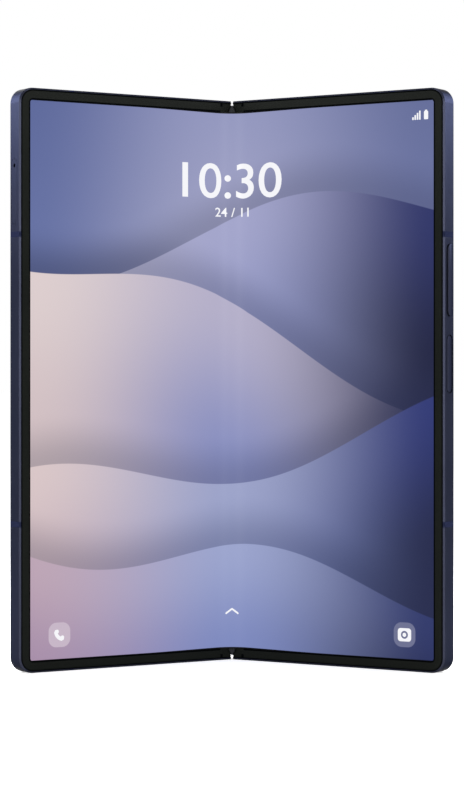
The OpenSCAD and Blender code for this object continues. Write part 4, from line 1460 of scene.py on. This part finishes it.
    def chevron(self) -> None:
        """A small mark above the bottom edge, one stroke on each side of the fold."""
        (wide, tall), (out, up) = self.stroke, self.stroke_place
        for half in self.screen.halves.values():
            name = f"chevron_{half.side.name.lower()}"
            obj = block(name, (-wide, -tall, 0), (wide, tall, LIT_HEIGHT))
            round_upright_edges(obj, wide - 0.001, 4)
            lean = Matrix.Rotation(half.sign * math.radians(self.stroke_lean), 4, "Z")
            put(obj, shift(half.sign * out, up, 0) @ lean)
            self.lay(obj, WHITE_PIXELS)
            self.attach(obj, half, bent=True)

    def status(self) -> None:
        """Signal bars and a battery mark in the upper right corner."""
        half, base = self.screen.halves[Side.RIGHT], self.status_base
        bars = []
        for index in range(4):
            left = self.bar_place + index * self.bar_pitch
            top = base + self.bar_rise[0] + index * self.bar_rise[1]
            size = (left + self.bar_width, top, LIT_HEIGHT)
            bars.append(block(f"bar_{index}", (left, base, 0), size))
        left, right, shoulder = self.battery
        level = block("battery_level", (left, base, 0), (right, shoulder, LIT_HEIGHT))
        round_upright_edges(level, 0.25, 3)
        left, right, top = self.battery_cap
        cap = block("battery_cap", (left, shoulder, 0), (right, top, LIT_HEIGHT))
        marks = joined("status_marks", [*bars, level, cap])
        self.lay(marks, WHITE_PIXELS)
        self.attach(marks, half, bent=False)

    def button(self, half: Half, finish: Finish) -> Pair:
        """A lit square button with soft corners.

        Args:
            half: The half that shows it.
            finish: Its colour.

        Returns:
            Its middle, in the flat picture's millimetres.
        """
        x, y = half.sign * self.button_place[0], self.button_place[1]
        size = self.button_size
        obj = block(
            f"button_{half.side.name.lower()}",
            (x - size, y - size, 0),
            (x + size, y + size, LIT_HEIGHT),
        )
        round_upright_edges(obj, self.button_corner)
        self.lay(obj, finish)
        self.attach(obj, half, bent=False)
        return x, y

    def call_button(self) -> None:
        """The left button, with a handset: a grip spun in an arc between two end pieces."""
        half = self.screen.halves[Side.LEFT]
        x, y = self.button(half, BUTTON_LEFT)
        turn = math.radians(self.handset_turn)
        outer, inner, thin = self.handset_grip
        grip = block("handset_grip", (-outer, -thin, 0), (-inner, thin, LIT_HEIGHT))
        with editing(grip):
            pick_faces(grip, lambda spot, normal: normal.y > FACING)
            bpy.ops.mesh.spin(steps=12, angle=turn, center=(0, 0, 0), axis=(0, 0, 1))
        ends, (wide, tall, corner) = [], self.handset_end
        for name, angle in (("first", 0.0), ("last", turn)):
            end = block(f"handset_end_{name}", (-wide, -tall, 0), (wide, tall, LIT_HEIGHT))
            round_upright_edges(end, corner, 5)
            put(end, Matrix.Rotation(-angle, 4, "Z") @ shift(-self.handset_radius, 0, 0))
            ends.append(end)
        mark = joined("handset_mark", [grip, *ends])
        lean = Matrix.Rotation(math.radians(self.handset_lean), 4, "Z")
        put(mark, shift(x + self.handset_shift, y + self.handset_shift, 0) @ lean)
        self.lay(mark, WHITE_PIXELS, self.mark_lift)
        self.attach(mark, half, bent=False)

    def camera_button(self) -> None:
        """The right button, with a camera."""
        half = self.screen.halves[Side.RIGHT]
        x, y = self.button(half, BUTTON_RIGHT)
        wide, tall, corner = self.camera_size
        body = block(
            "camera_mark_body", (x - wide, y - tall, 0), (x + wide, y + tall, LIT_HEIGHT)
        )
        round_upright_edges(body, corner, 5)
        self.lay(body, WHITE_PIXELS, self.mark_lift)
        self.attach(body, half, bent=False)
        for name, radius, finish, level in (
            ("camera_mark_ring", self.camera_ring, BUTTON_RIGHT, 2),
            ("camera_mark_eye", self.camera_eye, WHITE_PIXELS, 3),
        ):
            disc = stepped_disc(name, radius, LIT_HEIGHT, [(0.1, 0.0)], 32)
            put(disc, shift(x, y, 0))
            self.lay(disc, finish, level * self.mark_lift)
            self.attach(disc, half, bent=False)


@dataclass
class FoldGuards:
    """The seams of the small guards let into the bezel on both sides of the fold, drawn as painted
    shadow.
    """

    halves: dict[Side, Half]
    reach: Pair = (0.75, 4.3)
    below_end: float = 0.62
    line: float = 0.3
    foot: Pair = (0.7, 0.9)

    def build(self) -> None:
        """Builds the seams at the top and at the bottom of each half."""
        for half in self.halves.values():
            for top in (True, False):
                self.seam(half, top)

    def seam(self, half: Half, top: bool) -> None:
        """One seam: a thin dark line of painted shadow, with a short foot at its outer end.

        Args:
            half: The half that carries it.
            top: Whether it is at the top end.
        """
        name = f"guard_seam_{half.side.name.lower()}_{'top' if top else 'bottom'}"
        (near, far), (foot_width, foot_length) = self.reach, self.foot
        obj = block(name, (near, -self.line / 2, 0), (far, self.line / 2, SEAM_HEIGHT))
        foot = (far - foot_width) * MM
        with editing(obj):
            bpy.ops.mesh.bisect(plane_co=(foot, 0, 0), plane_no=(1, 0, 0))
            pick_faces(obj, lambda spot, normal: normal.y < -FACING and spot.x > foot)
            bpy.ops.mesh.extrude_region_move(
                TRANSFORM_OT_translate={"value": (0, -foot_length * MM, 0)}
            )
        up = half.height - self.below_end if top else self.below_end
        put(obj, Matrix.Diagonal((half.sign, 1 if top else -1, 1, 1)))
        close_up(obj)
        # The seam is a near black strip: painted shadow of the slot round the guard.
        settle(obj, half.standing() @ shift(0, 0, up) @ FACE_VIEWER, SEAM_SHADOW)
        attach(obj, half.body)
        LOG.info("%s: on %s", name, half.body)


@dataclass(frozen=True)
class Ring:
    """A fine dark line of painted shadow round a half: its inset, width and corner in millimetres.
    """

    name: str
    outer: float
    line: float
    corner: float


@dataclass
class BezelSeams:
    """Painted shadow: fine dark lines at the bezel's two edges, where its seams by the frame's rim
    and by the display lie in shade.
    """

    halves: dict[Side, Half]
    # Each ring is a near black strip: painted shadow in the seam.
    rings: tuple[Ring, ...] = (
        Ring("rim_seam", outer=0.45, line=0.36, corner=3.5),
        Ring("lip_seam", outer=2.75, line=0.4, corner=1.2),
    )
    fold_side: float = 4.3

    def build(self) -> None:
        """Builds both lines on each half."""
        for half in self.halves.values():
            for ring in self.rings:
                self.seam(half, ring)

    def seam(self, half: Half, ring: Ring) -> None:
        """One line of painted shadow: a thin rounded ring that is cut off where the guards begin.

        Args:
            half: The half that carries it.
            ring: Where it runs.
        """
        obj = block(
            f"{ring.name}_{half.side.name.lower()}",
            (-2 * ring.corner, ring.outer, 0),
            (half.width - ring.outer, half.height - ring.outer, SEAM_HEIGHT),
        )
        round_upright_edges(obj, ring.corner)
        with editing(obj):
            pick_faces(obj, lambda spot, normal: abs(normal.z) > FACING)
            bpy.ops.mesh.inset(thickness=ring.line * MM)
            bpy.ops.mesh.delete(type="FACE")
            bpy.ops.mesh.select_mode(type="EDGE")
            bpy.ops.mesh.select_non_manifold()
            bpy.ops.mesh.bridge_edge_loops()
            bpy.ops.mesh.select_all(action="SELECT")
            bpy.ops.mesh.bisect(
                plane_co=(self.fold_side * MM, 0, 0),
                plane_no=(1, 0, 0),
                clear_inner=True,
                use_fill=True,
            )
        put(obj, Matrix.Diagonal((half.sign, 1, 1, 1)))
        close_up(obj)
        settle(obj, half.standing() @ FACE_VIEWER, SEAM_SHADOW)
        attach(obj, half.body)
        LOG.info("%s: on %s", obj.name, half.body)


@dataclass
class Keys:
    """The volume key and the side key on the right rail."""

    half: Half
    line: float = 3.0
    width: float = 2.6
    inner: float = 64.1
    crown: float = 0.34
    tab: float = 0.4
    tab_reach: float = 0.8
    tab_inset: float = 0.2
    places: dict[str, Triple] = field(
        default_factory=lambda: {
            "volume_key": (93.6, 112.5, 66.65),
            "side_key": (73.7, 88.4, 66.25),
        }
    )

    def build(self) -> None:
        """Builds both keys."""
        for node, (low, high, face) in self.places.items():
            self.key(node, low, high, face)

    def key(self, node: str, low: float, high: float, face: float) -> None:
        """One key: a long cap with a soft crown and the tabs that hold it in the rail.

        Args:
            node: The CAD node that it stands for.
            low: Its lower end above the ground.
            high: Its upper end.
            face: How far out its face lies.
        """
        long, wide = (high - low) / 2, self.width / 2
        cap = block(f"{node}_cap", (-long, -wide, 0), (long, wide, face - self.inner))
        round_upright_edges(cap, wide - 0.001, 10)
        soften(cap, self.crown, 4)
        reach, side = long + self.tab_reach, wide - self.tab_inset
        tab = block(f"{node}_tab", (-reach, -side, 0), (reach, side, self.tab))
        round_upright_edges(tab, 0.5, 4)
        key = joined(f"{node}_body", [cap, tab])
        settle(key, self.half.on_rail(self.inner, self.line, (low + high) / 2), NAVY_KEY, 40)
        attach(key, node)
        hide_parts(node)
        LOG.info("%s: soft crowned key", key.name)


@dataclass
class Cameras:
    """The three lenses of the island, the flash and the camera under the cover glass."""

    back: Half
    cover: Half
    out: float = 53.6
    base: float = 6.4
    heights: tuple[float, ...] = (138.0, 120.5, 103.0)
    radius: float = 6.02
    cone_height: float = 0.44
    cone_steps: tuple[Pair, ...] = (
        (0.5, 0.0), (0.12, -0.1), (0.7, -0.02), (0.1, -0.08), (0.75, -0.02), (0.1, -0.08)
    )
    cone_edge: float = 0.03
    eye_radius: float = 3.6
    eye_height: float = 0.14
    eye_steps: tuple[Pair, ...] = (
        (0.5, 0.07), (0.7, 0.05), (0.8, 0.03), (0.8, 0.01)
    )
    eye_lift: float = 0.05
    flash_place: Triple = (39.6, 4.88, 132.0)
    flash_radius: float = 1.85
    flash_height: float = 0.7
    flash_steps: tuple[Pair, ...] = ((0.22, 0.04), (0.06, -0.04)) * 5
    cover_place: Triple = (34.95, 5.59, 146.5)

    def build(self) -> None:
        """Builds the lenses, the flash and the cover camera."""
        self.lenses()
        self.flash()
        self.cover_camera()

    def lenses(self) -> None:
        """Each lens: a black stepped cone that falls to a coated eye, under the ring's lip."""
        cones, eyes = [], []
        for index, up in enumerate(self.heights):
            cone = stepped_disc(
                f"cone_{index}", self.radius, self.cone_height, self.cone_steps, 96
            )
            soften(cone, self.cone_edge, 2)
            settle(cone, self.back.on_back(self.out, self.base, up), CAMERA_BLACK)
            cones.append(cone)
            eye = stepped_disc(
                f"eye_{index}", self.eye_radius, self.eye_height, self.eye_steps, 96
            )
            place = self.back.on_back(self.out, self.base + self.eye_lift, up)
            settle(eye, place, COATED_LENS, 60)
            eyes.append(eye)
        for name, parts, finish in (
            ("lens_cones", cones, CAMERA_BLACK),
            ("lens_eyes", eyes, COATED_LENS),
        ):
            piece = joined(name, parts)
            dress_mesh(piece, finish)
            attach(piece, self.back.body)
            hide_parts("camera_lenses")
            LOG.info("%s: %d lenses", name, len(parts))

    def flash(self) -> None:
        """The flash, with the rings of a stepped lens."""
        obj = stepped_disc(
            "flash_stepped_lens", self.flash_radius, self.flash_height, self.flash_steps, 48
        )
        settle(obj, self.back.on_back(*self.flash_place), FLASH_PLASTIC)
        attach(obj, self.back.body)
        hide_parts("flash_lens")
        LOG.info("%s: ringed flash", obj.name)

    def cover_camera(self) -> None:
        """The eye of the camera under the cover glass, as a dark ring with a small lens."""
        place = self.cover.on_back(*self.cover_place)
        ring = stepped_disc("cover_eye_ring", 1.85, 0.02, [(0.75, 0.0), (0.1, -0.012)], 48)
        settle(ring, place, CAMERA_BLACK)
        eye = stepped_disc("cover_eye_lens", 0.95, 0.012, [(0.3, 0.006), (0.3, 0.004)], 48)
        settle(eye, place, COATED_LENS, 60)
        for obj in (ring, eye):
            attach(obj, self.cover.body)
            LOG.info("%s: under the cover glass", obj.name)


@dataclass
class Ends:
    """What shows in the holes of the top and bottom rails."""

    left: Half
    right: Half
    depth: float = 3.1
    speaker: tuple[float, ...] = tuple(44 + i * 2.2 for i in range(6))
    speaker_radius: float = 0.54
    microphone: tuple[float, ...] = (24.0,)
    microphone_radius: float = 0.44
    sunk: float = 1.0
    gauze_height: float = 0.12
    port: float = 33.0
    port_rise: float = 6.4
    tongue_size: Triple = (6.6, 0.7, 5.2)
    tongue_nose: Pair = (0.08, 0.12)
    pads: int = 12
    pad_pitch: float = 0.5
    pad_width: float = 0.26
    pad_faces: Pair = (0.34, 0.37)
    pad_span: Pair = (1.6, 4.6)

    def build(self) -> None:
        """Builds the gauzes, the port's tongue and its contacts."""
        wide, narrow = self.speaker_radius, self.microphone_radius
        self.gauze("speaker_gauze_right", self.right, self.speaker, wide, False)
        self.gauze("speaker_gauze_left", self.left, self.speaker, wide, True)
        self.gauze("microphone_gauze_bottom", self.right, self.microphone, narrow, False)
        self.gauze("microphone_gauze_top", self.right, self.microphone, narrow, True)
        self.tongue()

    def gauze(
        self, name: str, half: Half, places: tuple[float, ...], radius: float, top: bool
    ) -> None:
        """Small round gauzes, one behind each hole of a rail.

        Args:
            name: The piece's name.
            half: The half that carries it.
            places: How far out each hole is.
            radius: The gauze's radius.
            top: Whether the holes are in the top rail.
        """
        parts = []
        for index, out in enumerate(places):
            steps = [(0.08, -0.03), (0.1, 0.02)]
            disc = stepped_disc(f"{name}_{index}", radius, self.gauze_height, steps, 24)
            up = half.height - self.sunk if top else self.sunk
            settle(disc, half.on_end(out, self.depth, up, top), GAUZE)
            parts.append(disc)
        piece = joined(name, parts)
        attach(piece, half.body)
        LOG.info("%s: %d gauzes", name, len(parts))

    def tongue(self) -> None:
        """The port's tongue, with a row of gold contacts on each face."""
        half, (wide, thick, long) = self.right, self.tongue_size
        tongue = block("port_tongue", (-wide / 2, -thick / 2, 0), (wide / 2, thick / 2, long))
        round_upright_edges(tongue, 0.2, 3)
        with editing(tongue):
            pick_faces(tongue, lambda spot, normal: normal.z > FACING)
            bpy.ops.mesh.inset(thickness=self.tongue_nose[0] * MM)
            bpy.ops.transform.translate(value=(0, 0, self.tongue_nose[1] * MM))
        place = half.on_end(self.port, self.depth, self.port_rise, False)
        settle(tongue, place, TONGUE_PLASTIC)
        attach(tongue, half.body)
        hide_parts("usb_tongue")
        pads, (root, tip) = [], self.pad_span
        for index in range(self.pads):
            x = (index - (self.pads - 1) / 2) * self.pad_pitch
            left, right = x - self.pad_width / 2, x + self.pad_width / 2
            for sign in (-1, 1):
                low, high = sorted(sign * face for face in self.pad_faces)
                pad = block(f"pad_{index}_{sign + 1}", (left, low, root), (right, high, tip))
                soften(pad, 0.01, 1)
                pads.append(pad)
        contacts = joined("port_contacts", pads)
        settle(contacts, place, GOLD_CONTACT)
        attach(contacts, half.body)
        LOG.info("port: tongue and %d contacts", len(pads))


@dataclass
class Finishes:
    """The finish of every CAD part that is shown as it is."""

    by_node: dict[str, Finish] = field(
        default_factory=lambda: {
            "spine_cover": NAVY_SPINE,
            "hinge_housings": SINTERED_STEEL,
            "hinge_screws": NICKEL,
            "detent_springs": SPRING_WIRE,
            "fold_caps": CAP_NYLON,
            "left_idler_gears": HOBBED_BRASS,
            "right_idler_gears": HOBBED_BRASS,
            "left_sync_arms": SINTERED_STEEL,
            "right_sync_arms": SINTERED_STEEL,
            "left_frame": NAVY_ALUMINIUM,
            "right_frame": NAVY_ALUMINIUM,
            "left_bezel": BEZEL_RUBBER,
            "right_bezel": BEZEL_RUBBER,
            "left_screen_plate": STEEL_STRIP,
            "right_screen_plate": STEEL_STRIP,
            "left_wing_plate": STEEL_STRIP,
            "right_wing_plate": STEEL_STRIP,
            "left_rotors": SINTERED_STEEL,
            "right_rotors": SINTERED_STEEL,
            "left_screws": NICKEL,
            "right_screws": NICKEL,
            "left_antenna_bands": NYLON_BAND,
            "right_antenna_bands": NYLON_BAND,
            "left_battery": POUCH,
            "right_battery": POUCH,
            "left_board": SOLDER_MASK,
            "main_board": SOLDER_MASK,
            "charge_board": SOLDER_MASK,
            "shield_cans": TIN_CAN,
            "cover_glass": COVER_GLASS,
            "cover_screen": PANEL_BLACK,
            "cover_camera": CAMERA_BLACK,
            "inner_camera": CAMERA_BLACK,
            "back_glass": ETCHED_GLASS,
            "camera_island": NAVY_RING,
            "camera_rings": NAVY_RING,
            "camera_modules": CAMERA_BLACK,
            "charging_coil": COPPER_WINDING,
            "left_speaker": BOX_PLASTIC,
            "right_speaker": BOX_PLASTIC,
            "vibration_motor": TIN_CAN,
            "left_magnets": NICKEL,
            "right_magnets": NICKEL,
            "usb_shell": PORT_STEEL,
            "microphones": GOLD_CONTACT,
            "key_switches": POLYIMIDE,
            "sim_tray": NAVY_ALUMINIUM,
            "sim_socket": TIN_CAN,
        }
    )

    def apply(self, nodes: dict[str, bpy.types.Object]) -> None:
        """Dresses each CAD node that is still shown.

        Args:
            nodes: The CAD nodes by name.
        """
        for name, obj in nodes.items():
            finish = self.by_node.get(name)
            if finish is not None:
                dress_mesh(obj, finish)
        LOG.info("finishes: %d CAD parts", len(self.by_node))


@dataclass(frozen=True)
class Lamp:
    """A soft rectangular lamp, which the camera doesn't see, in metres and watts."""

    name: str
    place: Triple
    target: Triple
    size: Pair
    power: float

    def hang(self) -> None:
        """Hangs the lamp in its place and points it at its target."""
        data = bpy.data.lights.new(self.name, "AREA")
        data.shape = "RECTANGLE"
        data.size, data.size_y = self.size
        data.energy = self.power
        lamp = bpy.data.objects.new(self.name, data)
        lamp.location = self.place
        aim = Vector(self.target) - Vector(self.place)
        lamp.rotation_euler = aim.to_track_quat("-Z", "Y").to_euler()
        lamp.visible_camera = False
        bpy.context.scene.collection.objects.link(lamp)


@dataclass
class Studio:
    """The pale floor, the soft lamps, the white surround and the camera, in metres."""

    eye: Triple = (0.0, -0.6925, 0.07675)
    lens: float = 115.8
    sensor: float = 36.0
    rise: float = -0.0246
    floor_size: float = 30.0
    floor_colour: str = "#EDEDED"
    floor_glow: float = 0.55
    fill: float = 0.55
    lamps: tuple[Lamp, ...] = (
        Lamp("lamp_top_left", (-0.32, 0.13, 0.3), (-0.056, -0.02, 0.145), (0.14, 0.27), 2.3),
        Lamp("lamp_top_right", (0.32, 0.13, 0.3), (0.056, -0.02, 0.145), (0.14, 0.27), 2.3),
        Lamp("lamp_side_left", (-0.32, 0.13, 0.13), (-0.056, -0.02, 0.09), (0.14, 0.2), 0.08),
        Lamp("lamp_side_right", (0.32, 0.13, 0.13), (0.056, -0.02, 0.09), (0.14, 0.2), 0.08),
        Lamp("lamp_edge_left", (-0.62, -1.1, 0.3), (0.0, 0.0, 0.08), (0.25, 0.5), 4.4),
        Lamp("lamp_edge_right", (0.62, -1.1, 0.3), (0.0, 0.0, 0.08), (0.25, 0.5), 4.4),
        Lamp("lamp_above", (0.0, -0.05, 0.9), (0.0, 0.0, 0.1), (0.5, 0.3), 1.0),
        Lamp("lamp_back", (-0.2, 1.2, 0.8), (0.0, 0.0, 0.07), (0.9, 0.6), 3.5),
    )

    def build(self) -> None:
        """Builds the camera, the surround, the floor and the lamps."""
        self.camera()
        self.surround()
        self.floor()
        for lamp in self.lamps:
            lamp.hang()
        bpy.context.scene.view_settings.view_transform = "Standard"

    def camera(self) -> None:
        """Sets the camera level at half height, where the photograph was taken from."""
        data = bpy.data.cameras.new("camera")
        data.sensor_width = self.sensor
        data.lens = self.lens
        data.shift_y = self.rise
        data.clip_start, data.clip_end = 0.01, 100
        camera = bpy.data.objects.new("camera", data)
        camera.location = self.eye
        camera.rotation_euler = (math.radians(90), 0, 0)
        bpy.context.scene.collection.objects.link(camera)
        bpy.context.scene.camera = camera

    @staticmethod
    def seen(tree: Tree) -> Socket:
        """Tells the rays by which the camera, metal and glass see from those that only light.

        Args:
            tree: The node tree of the world or of the floor.

        Returns:
            The socket with 1 for a camera, glossy or transmission ray and 0 for others.
        """
        rays = add_node(tree, "ShaderNodeLightPath")
        seen = add_node(
            tree,
            "ShaderNodeMath",
            {"operation": "MAXIMUM"},
            {0: rays.outputs["Is Camera Ray"], 1: rays.outputs["Is Glossy Ray"]},
        )
        seen = add_node(
            tree,
            "ShaderNodeMath",
            {"operation": "MAXIMUM"},
            {0: seen.outputs[0], 1: rays.outputs["Is Transmission Ray"]},
        )
        return seen.outputs[0]

    def surround(self) -> None:
        """A white surround that the camera, metal and glass see, and a softer fill light."""
        world = bpy.data.worlds.new("surround")
        bpy.context.scene.world = world
        world.use_nodes = True
        tree = world.node_tree
        tree.nodes.clear()
        level = add_node(
            tree,
            "ShaderNodeMapRange",
            links={0: self.seen(tree), 1: 0.0, 2: 1.0, 3: self.fill, 4: 1.0},
        )
        light = add_node(
            tree,
            "ShaderNodeBackground",
            links={"Color": (1, 1, 1, 1), "Strength": level.outputs[0]},
        )
        add_node(tree, "ShaderNodeOutputWorld", links={"Surface": light.outputs[0]})

    def floor(self) -> None:
        """A matt white floor that keeps the phone's shadow."""
        deselect()
        bpy.ops.mesh.primitive_plane_add(size=self.floor_size, location=(0, 0, 0))
        floor = bpy.context.active_object
        floor.name = "floor"
        material = bpy.data.materials.new("matt_white_floor")
        material.use_nodes = True
        tree = material.node_tree
        tree.nodes.clear()
        level = add_node(
            tree,
            "ShaderNodeMath",
            {"operation": "MULTIPLY"},
            {0: self.seen(tree), 1: self.floor_glow},
        )
        matt = add_node(
            tree, "ShaderNodeBsdfDiffuse", links={"Color": linear(self.floor_colour)}
        )
        glow = add_node(
            tree,
            "ShaderNodeEmission",
            links={"Color": (1, 1, 1, 1), "Strength": level.outputs[0]},
        )
        both = add_node(
            tree, "ShaderNodeAddShader", links={0: matt.outputs[0], 1: glow.outputs[0]}
        )
        add_node(tree, "ShaderNodeOutputMaterial", links={"Surface": both.outputs[0]})
        floor.data.materials.append(material)


def halves_of(frame: dict) -> dict[Side, Half]:
    """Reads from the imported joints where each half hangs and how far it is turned.

    Args:
        frame: What the loader gave.

    Returns:
        Each side's half.
    """
    joints = {joint["name"]: joint for joint in frame["joints"]}
    turn = math.radians(-joints["left_fold"]["range_deg"][0])
    return {
        side: Half(side, body, tuple(joints[name]["pos_m"][:2]), turn)
        for side, body, name in (
            (Side.LEFT, "left_half", "left_fold"),
            (Side.RIGHT, "right_half", "right_fold"),
        )
    }


def main() -> None:
    """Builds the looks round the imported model, in order."""
    logging.basicConfig(level=logging.INFO, format="%(name)s: %(message)s")
    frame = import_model()
    halves = halves_of(frame)
    left, right = halves[Side.LEFT], halves[Side.RIGHT]
    Finishes().apply(frame["nodes"])
    spine_y = right.axis[1] - right.axis_back * MM
    FoldingScreen(ScreenMap(halves, spine_y)).build()
    FoldGuards(halves).build()
    BezelSeams(halves).build()
    Keys(right).build()
    Cameras(back=right, cover=left).build()
    Ends(left, right).build()
    Studio().build()


if __name__ == "__main__":
    main()
